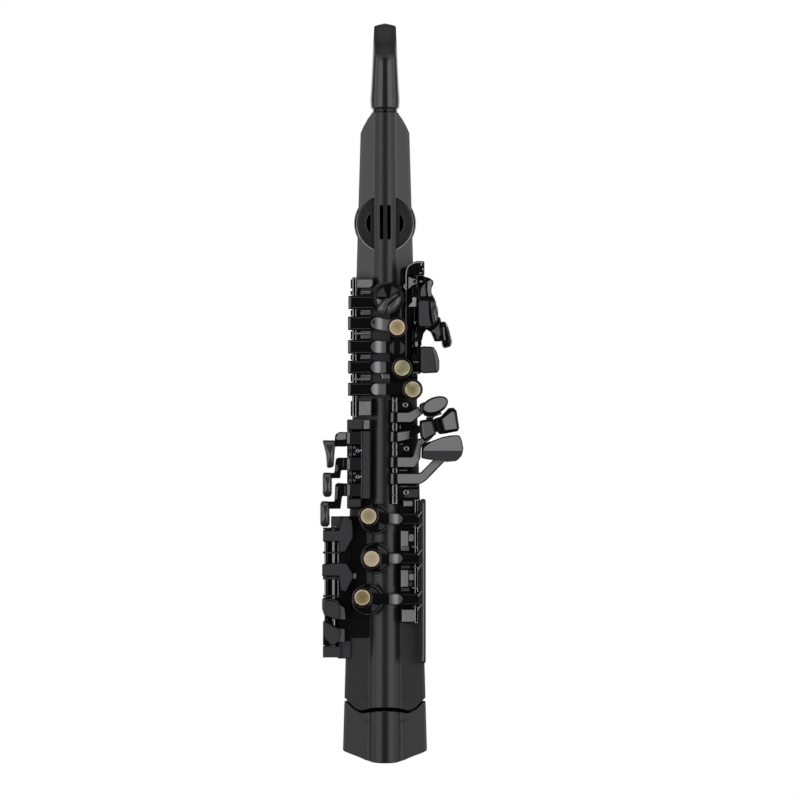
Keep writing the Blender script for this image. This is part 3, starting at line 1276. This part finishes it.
for top, foot in ((397.5, 411), (424.5, 429.5), (443.5, 449), (450.5, 455), (468.8, 471.6),
        (485, 494), (495.6, 503.4)):
    for column in (392.8, 396.7):
        trim.line([(column, foot), (column, top)], -20, 0.45, 2)
piece("pinky_trim", trim, [screw_metal, pit_black, rim_grey])
print("pinky base done")

# %% Pinky keys
def ellipse(centre, long, short, tilt):
    c, s = cos(radians(tilt)), sin(radians(tilt))
    return [(centre[0] + long * cos(a) * c - short * sin(a) * s,
        centre[1] + long * cos(a) * s + short * sin(a) * c) for a in round_circle(48)]


pinky_keys = {"g_sharp_key": ((411.8, 422.9), [(1.6, 411.8), (13.8, 411.8), (23.6, 406.2),
    (24.6, 409.5), (28.6, 413), (16.8, 422.9), (1.6, 422.9)],
    [(24.1, 409), (26.1, 404.5), (41.1, 399.5), (43.1, 404.5), (28.1, 411)]),
    "c_sharp_key": ((430.9, 442), [(1.6, 431.4), (17.2, 429.6), (17.2, 438.8), (6, 441.8),
    (1.6, 442)], [(14.1, 431.6), (26.9, 424.6), (28.7, 430), (17.2, 437.4), (14.1, 438.6)]),
    "low_b_key": ((456.2, 467.6), [(1.6, 456.2), (17.6, 456.2), (22.6, 438.8), (28.6, 437),
    (37.5, 432.4), (41, 433.4), (35.1, 439.7), (26.1, 446), (25.6, 458), (20.1, 467.6),
    (1.6, 467.6)], [(38.7, 418.5), (45.3, 416.5), (52.1, 416), (53.1, 426.5), (49, 431.7),
    (42.6, 433.2)]), "low_b_flat_key": ((472.6, 484.1), [(1.6, 472.6), (25.2, 472.6), (38.1, 459.5),
    (51.1, 459.5), (30.6, 480.6), (24.5, 484), (1.6, 484.1)],
    [(35.1, 458.6), (39.6, 454), (51.1, 454), (48.5, 460)])}
pinky_touches = {"c_sharp_key": [(25.6, 421.3), (36.7, 420), (40.6, 433.7), (29.3, 440.1),
    (26.3, 435.5)], "low_b_key": [(45.3, 418.7), (57.4, 408.8), (60.4, 411.8), (63.1, 427.8),
    (62, 430.1), (49, 431.7)], "low_b_flat_key": [(26.7, 458), (28.2, 446.4), (35.2, 441.2),
    (47.4, 436.6), (56.6, 434.9), (64.3, 434.9), (66.6, 440.1), (68.1, 448.5), (66.6, 455.4),
    (61.2, 460.7), (51.3, 461.7), (36.7, 459.8)]}
pinky_rims = {"g_sharp_key": [(23.9, 406.4), (24.9, 409.4), (26.7, 412.4), (29.5, 415.8),
    (33.7, 417), (39.1, 416), (45.5, 412.4), (45.5, 409), (29.1, 402), (25.1, 403.6)],
    "c_sharp_key": [(24.4, 421.2), (25.6, 420.2), (37.4, 418.4), (41.1, 434), (29.5, 441.2),
    (24.9, 436)], "low_b_key": [(40.7, 418.4), (44.7, 417.2), (53.3, 408), (58.4, 407.6),
    (61.4, 410.8), (64, 428), (62.6, 431), (49.7, 433.6), (43.9, 434.2)],
    "low_b_flat_key": [(26.2, 457.8), (26.4, 445.2), (29.8, 443), (35.2, 440.6), (35.2, 458.6)]}
crease = along(450.4)
for name, (rows, arm, stem) in pinky_keys.items():
    form = Form()
    rail(form, pinky_x, pinky_y, 1, rows, pinky_x + 6.1, heel=4.6)
    form.slab(box(390.4, 394, rows[0] + 0.1, rows[1] - 0.1), 0.7, -19, -22.5, (0, 0.8), 0, 1)
    form.slab(from_rod("pinky", arm), 1.8, -19.3, -22.15, (0.3, 1.1), 0, 1)
    form.slab(from_rod("pinky", stem), 1.0, -19.3, -26.9, (0, 0.3))
    rim = from_rod("pinky", pinky_rims[name])
    form.slab(rim if name == "low_b_flat_key" else rim[::-1], 1.0, -26.2, -28, (0, 0.5))
    if name == "g_sharp_key":
        outline = ellipse(rod_spot("pinky", 40.1, 404.9), 12.4, 7.2, 22)
        form.put(block(outline, -26.2, -30, edges=(0.5, 1.5)), 0, 1)
        dark = ellipse(rod_spot("pinky", 39.5, 405.6), 12.6, 7.7, 22)
        form.put(block(dark, -26, -28.4, edges=(0.3, 0.8)))
        form.line([(421.6, 411.6), (421.2, 409), (421.6, 405.6), (423, 402.9)], -28.3, 0.34, 3)
    elif name == "c_sharp_key":
        outline = soften(from_rod("pinky", pinky_touches[name]), 1.8)
        form.put(tile(outline, -27, lambda u, v: -29.9 + 0.03 * abs(u - across(427)), 1.2), 0, 3)
        tab = traced([(426, 417), (433, 415.6), (441, 411.9), (441.6, 414.2), (433.2, 417.2),
            (432.8, 421), (426, 423)])
        form.slab(tab[::-1], 0.5, -19.3, -21.4, (0.2, 0.4))
        form.line([(427, 417.6), (434, 416.2), (440.4, 413.4)], -21.35, 0.5, 2)
        form.line([(422.6, 423.6), (423, 430), (424.4, 437.4)], -29.6, 0.36, 1)
    elif name == "low_b_key":
        outline = soften(from_rod("pinky", pinky_touches[name]), 1.8)
        form.put(block(outline, -26.2, -30, edges=(0.5, 1.6)), 0, 1)
    else:
        outline = soften(from_rod("pinky", pinky_touches[name]), 1.8)
        slope = lambda u, v: -29.85 + 0.09 * max(crease - v, 0)
        form.put(tile(outline, -26.2, slope, 1.5))
        within = inset(outline, 1.1)
        upper = [(u, max(v, crease)) for u, v in within]
        lower = [(u, min(v, crease)) for u, v in within]
        form.put(tile(upper, -28, lambda u, v: -30, 0.12), 1)
        form.put(tile(lower, -27, lambda u, v: slope(u, v) - 0.13, 0.1), 4)
        form.line([(424.4, 455.6), (430, 458.8), (438, 460.3), (446, 460.9), (453, 460.3),
            (459, 456.6)], -28.7, 0.26, 1)
        form.line([(423.2, 456.4), (422.9, 452), (424.4, 446.8)], -28.3, 0.5, 3)
    piece(name + "_lever", form, [gloss_black, satin_grey, rim_grey, satin_mid,
        satin_dark], name, [name])
print("pinky keys done")

# %% [markdown]
# ## Side keys
# Three keys for the side of the right hand sit on the left edge of the body. Their paddles are
# long rounded pads that stand clear of the edge, with a bright line where the rounding turns.

# %% Side base
base = Form()
bars(base, "side", [(-3.3, 20.3, 419.4, 508.5, 1, BED_REAR, -10.5, 0.6, None),
    (11.3, 20.3, 430.3, 498.8, 0.8, BED_REAR, -16.5, 0.8, 1),
    (-3.1, 12.9, 419.4, 429.6, 0.8, BED_REAR, -17.5, 0.8, 1),
    (12.6, 19.9, 419.4, 429.6, 0.6, BED_REAR, -17.5, 0.8, 2),
    (-3.3, 11.2, 498, 507.4, 0.8, BED_REAR, -17.5, 0.8, 1),
    (-2.7, 11.2, 446, 455.4, 0.6, BED_REAR, -14.8, 0.5, None),
    (-2.7, 11.2, 471.8, 481.6, 0.6, BED_REAR, -14.8, 0.5, None)])
base.line([(361.6, 431), (361.6, 498)], -16.5, 0.3, 3)
base.line([(348, 420), (369.6, 420)], -17.45, 0.25, 3)
piece("side_base", base, [deep_black, satin_dark, satin_grey, satin_mid], "body",
    ["side_key_base"])
trim = Form()
stud = [(1.3, -14.8), (1.3, -16.2), (0.9, -16.6), (0, -16.6)]
for row in (450.7, 476.7):
    screw(trim, rod_spot("side", 7.4, row), -15.0, 2.0, 0, row)
    trim.put(turned([(0.7, -15), (0.7, -17), (0, -17.2)],
        rod_spot("side", 10.6, row - 0.4), "y", 16))
    for column in (350.5, 354.5):
        for place_of in (row - 3.4, row + 3.4):
            trim.put(turned(stud, spot(column, place_of), "y", 16), 2)
piece("side_trim", trim, [screw_metal, pit_black, satin_mid])
print("side base done")

# %% Side keys
side_keys = {"side_e_key": ((431.8, 444.2), [(0, 432), (-11, 431.8), (-15, 434.5), (-16.5, 446.5),
    (-4.5, 446.5), (0, 444)], [(-28.1, 440), (-13.9, 440.3), (-15.5, 452), (-16.2, 466),
    (-19.5, 467.9), (-23.5, 467.7), (-24.6, 453.7), (-26.7, 446)]),
    "side_c_key": ((457.4, 470), [(0, 457.4), (-12.5, 457.4), (-14.5, 459), (-16, 472.5),
    (-20, 472.5), (-20, 478), (-10, 478), (-9, 470), (0, 470)],
    [(-27, 472.3), (-18.1, 472.3), (-18.1, 494), (-20.5, 496.8), (-25.5, 496.8), (-27.8, 494),
    (-27.8, 475)]), "side_b_flat_key": ((483.4, 495.8), [(0, 483.4), (-12.5, 482.5), (-15.1, 484),
    (-15.9, 501), (-22.5, 501), (-22.5, 508.4), (-9.7, 508.4), (-8.1, 495.8), (0, 495.8)],
    [(-28.5, 500.8), (-20.5, 500.8), (-20.5, 524), (-22.5, 526.4), (-28, 526.4), (-30.2, 524),
    (-30.2, 503.5)])}
side_lights = {"side_e_key": [(1, [(336, 438.8), (338.8, 433), (346.2, 432.8), (346.2, 439),
    (339, 440)])], "side_c_key": [(2, [(334.6, 471), (336.6, 463.5), (338.2, 466), (337.8, 471)]),
    (5, [(343, 466.8), (343, 458.8), (344.4, 458.8), (344.4, 466.8)])],
    "side_b_flat_key": [(2, [(334.8, 499.6), (336, 486.5), (338.4, 486), (337.4, 498.8)]),
    (5, [(344.6, 494.6), (344.6, 485), (345.8, 485), (345.8, 494.6)])]}
for name, (rows, arm, paddle) in side_keys.items():
    form = Form()
    rail(form, side_x, side_y, 1, rows, side_x + 10.7 * PIXEL, top=3.5, under=0, kind=4)
    form.slab(box(347.3, 350.2, rows[0] + 0.4, rows[1] - 0.4), 0.8, -15, -17.8, (0, 0.8), 1)
    form.slab(from_rod("side", arm), 1.0, -13.4, -17.2, (0.3, 0.6))
    for kind, outline in side_lights[name]:
        form.slab(traced(outline[::-1]), 0.3, -16, -17.7, (0, 0.4), kind)
    outline = soften(from_rod("side", paddle), 2.4, 6)
    form.put(mound(outline, -9.5, -18.6, towards(outline, 0.12, (0.9, 0)), 3.4), 6)
    piece(name + "_lever", form, [gloss_black, satin_grey, satin_mid, rim_grey, strap_black,
        satin_dark, bright_black], name, [name])
print("side keys done")

# %% [markdown]
# ## Lower stack
# The right hand's stack runs the other way: its rod is on the right, and wide cups lie under the
# pearls. The guard is a tall rail to the right of the rod, with a foot that clasps the body.

# %% Lower base
base = Form()
bars(base, None, [(400.9, 420.4, 499.6, 622, 1, BED_REAR, -13.4, 0.6, None),
    (345.4, 369.6, 516, 637.4, 1.5, -6.4, -8.7, 0.3, None),
    (366.5, 373.4, 531, 543.6, 0.6, -8, -9.8, 0.3, 4), (366.5, 372.6, 568, 586, 0.6,
    -8, -9.8, 0.3, 4)])
for left, right, top, foot in ((403.5, 413.2, 499.8, 506.4), (400.9, 408.9, 529.6, 549.8),
        (400.9, 408.9, 568.6, 586.5), (401.8, 415.4, 608, 621.4)):
    base.slab(box(left, right, top, foot), 0.8, -12, -18.4, (0, 0.8), 0, 1)
    base.line([(left + 0.5, foot - 0.6), (left + 0.5, top + 0.6)], -18.35, 0.3, 2)
    base.slab(rect(across(left) + 2, lower_x + 3.6, along(foot), along(top)), 0.5, BED_REAR, -16.6)
bars(base, None, [(408, 414.2, 533, 541.4, 0.6, -12, -18.4, 0.8, 1),
    (401.2, 409.2, 545.2, 550.4, 0.6, -12, -18.6, 0.4, 3),
    (400.9, 410.6, 564.4, 568, 0.6, -12, -16.9, 0.4, 4),
    (400.9, 410, 586.9, 590.8, 0.6, -12, -16.9, 0.4, 4),
    (408.4, 412.8, 569, 572.4, 0.6, -12, -17.6, 0.6, 4),
    (408.4, 414.2, 572.6, 580, 0.6, -12, -17.6, 0.6, 1),
    (408.4, 412.8, 580.4, 586, 0.6, -12, -17.6, 0.6, 4)])
piece("lower_base", base, [deep_black, satin_grey, rim_grey, satin_mid, satin_dark], "body",
    ["lower_key_base"])
trim = Form()
for top, foot in ((526, 531), (546, 550.5), (566, 569.5), (587, 591), (605.5, 609)):
    trim.line([(412, top), (417.6, top + 0.6), (418, foot)], -19.2, 0.4, 0)
piece("lower_trim", trim, [screw_metal])
print("lower base done")

# %% Lower keys
lower_keys = {"f_key": ((512.4, 524.4), (368.8, 515.3), (375.2, 518.4), 14.1),
    "e_key": ((552, 563.5), (371.8, 557.7), (376.2, 557.1), 14.5),
    "d_key": ((592.2, 604.2), (362.6, 596), (367.7, 598.5), 14.7)}
for name, (rows, touch, cup, radius) in lower_keys.items():
    form = Form()
    rail(form, lower_x, lower_y, -1, rows, across(402.4) - (along(rows[0]) - along(rows[1])) / 2,
        heel=4.4)
    strap_lines(form, 402.8, 419, rows, 2)
    tongue(form, lower_x, lower_y, -1, rows, (402.4, 389.2), touch, 1)
    centre = spot(*cup)
    form.put(turned([(0, -20), (radius - 0.6, -20), (radius, -20.5), (radius, -21.7),
        (radius - 0.25, -22.2), (radius - 0.8, -22.5), (radius - 1.9, -22.5), (radius - 2.4, -22.1),
        (radius - 3.2, -21.8), (0, -21.8)], centre, "y", 96))
    for start, stop, kind in ((-100, -14, 3), (20, 78, 3), (100, 258, 2)):
        line = arc(centre, radius - 1.2, np.radians(np.linspace(start, stop, 16)))
        form.put(wire([(x, -22.45, z) for x, z in line], 0.3, 6), kind)
    for start, stop, corner in ((-72, -28, (3, -2.4)), (18, 84, (2, 3.2))):
        line = arc(centre, radius - 2.9, np.radians(np.linspace(start, stop, 12)))
        form.put(block([*line, (centre[0] + corner[0], centre[1] + corner[1])], -21, -22.1,
            edges=(0, 0.3)), 0, 2)
    holder(form, spot(*touch), lower_y, -21)
    pearl(name[0] + "_pearl", name, spot(*touch), lower_y)
    piece(name + "_lever", form, [gloss_black, lower_sweep, satin_dark, satin_mid], name, [name])
print("lower keys done")

# %% Key guard
guard = Form()
guard.slab(box(420.5, 425.7, 498.5, 662), 2.2, -3, -21.6, (0.5, 1.7), 0, 1, steps=6)
bars(guard, None, [(418.9, 421.5, top, foot, 0.9, BED_REAR, -18, 0.5, 1) for top,
    foot in ((500, 511), (526, 550.5), (565, 590.5), (605.5, 660))])
guard.slab(rod_box("lower", -8.5, 6.5, 626, 662), 2.6, BED_REAR, -8.4, (0, 0.3), 4)
guard.line([(423.3, 503), (423.3, 560), (423.3, 655), (422.4, 660)], -21.55, 0.42, 2)
for row in (511, 523, 549, 563, 590, 603):
    rib = traced([(417.4, row + 4.5), (421.6, row - 0.6), (422.2, row + 0.3), (418.4, row + 5.8)])
    guard.slab(rib, 0.3, -20.6, -22, (0, 0.3), 3)
piece("guard_rail", guard, [gloss_black, satin_dark, satin_grey, satin_grey, lower_wing], "body",
    ["key_guard"])
print("guard done")

# %% [markdown]
# ## Corner keys
# Four more keys hang on a bracket off the lower left edge. A second thin rod beside the hinge
# ties the lugs.

# %% Corner bracket
bracket = Form()
bars(bracket, "corner", [(-2, 12.5, 528, 655, 0.6, -4, -6.4, 0.3, None),
    (11.5, 24.9, 516, 641, 1, -4, -10.2, 0.8, None), (11.5, 24.9, 639.6, 658, 1, -4,
    -10.4, 0.8, 2)])
bracket.slab(rod_box("corner", 4.7, 15.5, 516, 528.9), 0.8, -6, -12.6, (0.3, 0.6), 0, 2)
for top, foot in ((527.3, 528.9), (551.2, 553.2), (576, 579), (594.6, 596.4), (645.4, 656.7)):
    lug = rect(corner_x - 3.1, corner_x + 13.5, along(foot), along(top))
    bracket.put(block(lug, -6, -12.6, edges=(0.3, 0.4)), 0, 2)
piece("corner_bracket", bracket, [deep_black, satin_black, satin_dark], "body",
    ["corner_key_bracket"])
trim = Form().put(turned([(1.7, along(656)), (1.7, along(527.5))],
    (corner_x + 7.3 * PIXEL, -9.8), "z", 20))
for top, foot in ((542, 563), (575.5, 597)):
    trim.line([(325.6, foot), (325.6, top)], -11.9, 0.42, 2)
    trim.line([(338.3, foot), (338.3, top)], -10.8, 0.45, 2)
for column, row, radius, turn in ((8.4, 526, 1.5, 0.9), (5.5, 644.5, 1.6, 0.3)):
    screw(trim, rod_spot("corner", column, row), -12.7, radius, 0, turn)
trim.slab(traced([(353.4, 573), (356, 573), (356, 578), (353.4, 578)]), 0.3, -8.6,
    -10.2, (0, 0.4), 2)
piece("corner_tie", trim, [rod_metal, pit_black, rim_grey])
print("corner bracket done")

# %% Corner keys
corner_keys = {"high_f_sharp_key": ((529.4, 541.3), -17.2,
    [(-3.1, 529.6), (13, 529.6), (15.5, 517.5), (18.5, 515.8), (21.7, 516.3), (26.3, 519.9),
    (26.5, 537.2), (19.1, 551.5), (13, 552), (13, 541.2), (-3.1, 541.2)]),
    "alternate_f_sharp_key": ((563.4, 574.4), -17.2, [(-4.1, 563.4), (13, 562), (20.1, 562.2),
    (26.3, 572.4), (27, 577), (20, 591.5), (14.5, 590), (13, 575.6), (-4.1, 575.6)]),
    "e_flat_key": ((597.2, 608.4), -21, [(-4.1, 597.4), (0.5, 598), (4.5, 597.3), (11.5, 599),
    (14.1, 604), (18.5, 606), (19.8, 619), (14.5, 619), (8.5, 618.5), (-1.5, 615.5),
    (-4.1, 608.2)]), "low_c_key": ((620.4, 644.4), -21, [(-3, 620.3), (-1.2, 619.2), (12.7, 626.8),
    (18.8, 627.4), (18.8, 642.7), (14.5, 641), (9.7, 643), (8.5, 644.6), (3.5, 644),
    (0, 639.7), (-3, 630.6)])}
corner_faces = {"e_flat_key": [(-1.4, 600.6), (1.8, 598.4), (9.5, 599.6), (13, 604.4), (14.2, 610),
    (13.2, 619), (8.5, 618.5), (-1, 615)], "low_c_key": [(-3, 622), (-1.2, 619.6), (7, 624.2),
    (13, 627.2), (14.4, 630), (12.4, 640.6), (8.5, 644.4), (3.8, 643.8), (0.2, 639)]}
for name, (rows, face, outline) in corner_keys.items():
    form = Form()
    rail(form, corner_x, corner_y, 1, rows, corner_x + BARREL, top=4.8, under=0)
    rim = soften(from_rod("corner", outline), 1.4)
    if name in corner_faces:
        form.put(block(rim, -14.5, face + 2.6, edges=(0.4, 0.8)), 0, 4)
        form.slab(from_rod("corner", corner_faces[name]), 1.2, -16, face, (0.3, 1.1), 0, 1)
    else:
        form.put(block(rim, -14.5, face, edges=(0.4, 0.9)), 0, 1)
    piece(name + "_lever", form, [gloss_black, satin_dark, satin_grey, rim_grey,
        satin_mid], name, [name])
print("corner keys done")

# %% [markdown]
# ## The rear
# The photo shows only the key side, so the rear follows common practice: a thumb rest and octave
# key high up, a ring for the neck strap, a hook for the right thumb, and the battery door.

# %% Thumb rest and octave key
def rear_at(row):
    return rear_depth(along(row))


thumb_face = rear_at(307) + 1.8
pin_z, pin_y = along(253), rear_at(253) + 7.6
rest = Form()
rest.slab(rect(-7, 7, along(319), along(246.5)), 3.5, 8, thumb_face, (0, 0.6), steps=6)
rest.put(turned([(0, 8), (10.2, 8), (10.5, thumb_face), (10.5, thumb_face + 3.0),
    (10.2, thumb_face + 3.8), (9.4, thumb_face + 4.2), (8.2, thumb_face + 4.1),
    (5, thumb_face + 3.6), (0, thumb_face + 3.3)], (0, rest_z), "y", 72), 1)
for left in (-8.8, 6.2):
    rest.slab(rect(left, left + 2.6, pin_z - 3.1, pin_z + 3.1), 0.5, 8, pin_y + 3.1, (0, 0.8))
piece("thumb_plate", rest, [satin_black, rubber_black], "body", ["thumb_rest"])
octave_y, octave_foot = pin_y - 1.3, along(292)
outline = soften([(-3.4, pin_z + 3.1), (-3.4, pin_z - 5), (-8.5, pin_z - 10), (-8.5, octave_foot),
    (8.5, octave_foot), (8.5, pin_z - 10), (3.4, pin_z - 5), (3.4, pin_z + 3.1)], 3.0, 6)
octave = Form().put(block(outline, octave_y, octave_y + 2.6, edges=(0.3, 0.8), crown=0.3))
octave.put(turned([(2.0, -5.9), (2.4, -5.5), (2.4, 5.5), (2.0, 5.9)], (pin_y, pin_z), "x", 32))
octave.put(turned([(1.2, -8.8), (1.6, -8.5), (1.6, 8.5), (1.2, 8.8)], (pin_y, pin_z), "x", 24))
piece("octave_lever", octave, [satin_grey], "octave_key", ["octave_key"])
print("thumb rest done")

# %% Strap ring and thumb hook
ring_z, ring_y = along(392), rear_at(392) + 8.4
ring_form = Form()
ring_form.put(wire([(0, y, z) for y, z in arc((ring_y, ring_z), 6.4, round_circle(64))], 1.8,
    20, closed=True))
ring_form.slab(rect(-7.5, 7.5, ring_z - 12, ring_z + 12), 3.75, 8, rear_at(392) + 2,
    (0, 0.5), steps=6)
piece("strap_loop", ring_form, [rod_metal, pit_black], "body", ["strap_ring"])
hook_face = rear_at(522) + 3
hook_path = [(hook_face + 0.4, hook_z - 9), (hook_face + 0.6, hook_z - 1.5)]
for a in np.linspace(pi, 0, 17):
    hook_path.append((hook_face + 7.5 + 9.0 * cos(a) * 0.92, hook_z + 7.5 * sin(a)))
hook_path += [(hook_face + 16.4, hook_z - 4), (hook_face + 16.5, hook_z - 9)]
hook = Form()
hook.slab(rect(-8, 8, hook_z - 16, hook_z + 16), 4, 8, hook_face, (0, 0.5), steps=6)
rings = []
for i, (y, z) in enumerate(hook_path):
    before, after = np.array(hook_path[max(i - 1, 0)]), np.array(hook_path[min(i + 1,
        len(hook_path) - 1)])
    way = (after - before) / np.linalg.norm(after - before)
    side = np.array([-way[1], way[0]])
    flat = soften(rect(-8, 8, -1.45, 1.45), 1.1, 4)
    rings.append([(u, y + side[0] * v, z + side[1] * v) for u, v in flat])
hook.put(loft(rings), 1)
piece("thumb_hook_arm", hook, [satin_black, gloss_black], "thumb_hook", ["thumb_hook"])
trim = Form()
for z in (hook_z - 12.5, hook_z + 12.5):
    trim.put(turned([(2.2, hook_face - 0.4), (2.2, hook_face + 0.1), (1.9, hook_face + 0.4),
        (0, hook_face + 0.6)], (0, z), "y", 28))
piece("hook_screws", trim, [screw_metal], "thumb_hook")
print("hook done")

# %% [markdown]
# ## Parts inside
# The speaker's magnet, the main board and the cells keep their CAD shapes. Each gets its own
# finish, for views through an opening.

# %% Inside
inside = {"speaker_driver": finish("magnet_metal", (120, 118, 112), 0.35, metal=1.0),
    "main_board": finish("board_green", (24, 58, 40), 0.45),
    "battery_pack": finish("cell_wrap", (52, 74, 120), 0.4)}
for node, look in inside.items():
    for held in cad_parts[node].material_slots:
        held.material = look
print("parts inside:", len(inside))

# %% [markdown]
# ## Light
# Black lacquer shows the room more than its own colour, so the room is the finish. Tall soft
# lamps stand left and right of the camera with a dark gap between them. The gap is the dark line
# down the middle of each round part, and the lamps are the two pale bands beside it. Their
# strength makes a colour come out about as written.

# %% Lamps
LAMP_DISTANCE = 1.8


def softbox(name, azimuth, spread, radiance, elevation=0.0, tall=1.9):
    wide = 2 * LAMP_DISTANCE * tan(radians(spread / 2))
    light = bpy.data.lights.new(name, "AREA")
    light.shape, light.size, light.size_y = "RECTANGLE", wide, tall
    light.energy = radiance * pi * wide * tall
    lamp = linked(name, light)
    turn, rise = radians(azimuth), radians(elevation)
    way = (cos(rise) * sin(turn), -cos(rise) * cos(turn), sin(rise))
    lamp.location = [LAMP_DISTANCE * part for part in way]
    lamp.rotation_euler = (pi / 2 - rise, 0, turn)
    lamp.visible_camera = False
    return lamp


lamps = [softbox("lamp_left", -38, 38, 1.8), softbox("lamp_right", 40, 38, 2.0),
    softbox("lamp_far_left", -78, 36, 1.1), softbox("lamp_far_right", 78, 36, 1.1),
    softbox("lamp_rear_left", -140, 34, 1.6), softbox("lamp_rear_right", 140, 34, 1.6),
    softbox("lamp_top", 0, 50, 0.9, elevation=62, tall=1.0)]
print("lamps:", len(lamps))

# %% World
FLOOR_OF_ROOM, WHITE = 0.1, 1.0
world = bpy.data.worlds.new("studio")
bpy.context.scene.world = world
world.use_nodes = True
tree = world.node_tree
camera_ray = add(tree, "LightPath", out="Is Camera Ray")
rays = camera_ray.node.outputs
behind_object = ranged(tree, split(tree, add(tree, "TexCoord", out="Generated"), "Y"), (0.86, 0.94))
mirrored = maths(tree, "MULTIPLY", maths(tree, "MAXIMUM", rays["Is Glossy Ray"],
    rays["Is Transmission Ray"]), behind_object)
shown = maths(tree, "MAXIMUM", camera_ray, mirrored)
feed(tree, tree.nodes["Background"], {"Color": (1, 1, 1, 1),
    "Strength": ranged(tree, shown, end=(FLOOR_OF_ROOM, WHITE))})
bpy.context.scene.view_settings.view_transform = "Standard"
print("world ready")

# %% [markdown]
# ## Camera
# A long lens from almost four metres away keeps the instrument's sides straight, as in a
# catalogue picture.

# %% Camera
SENSOR, DISTANCE, VIEW_HEIGHT = 36, 3.7, 0.7362
camera_data = bpy.data.cameras.new("camera")
camera_data.lens = SENSOR * DISTANCE / VIEW_HEIGHT
camera = linked("camera", camera_data)
camera.location = (0.0138, -RING_DEPTH / 1000 - DISTANCE, -0.0074)
camera.rotation_euler = (pi / 2, 0, 0)
camera_data.clip_end = 20
bpy.context.scene.camera = camera
print("lens:", round(camera_data.lens, 1), "mm")
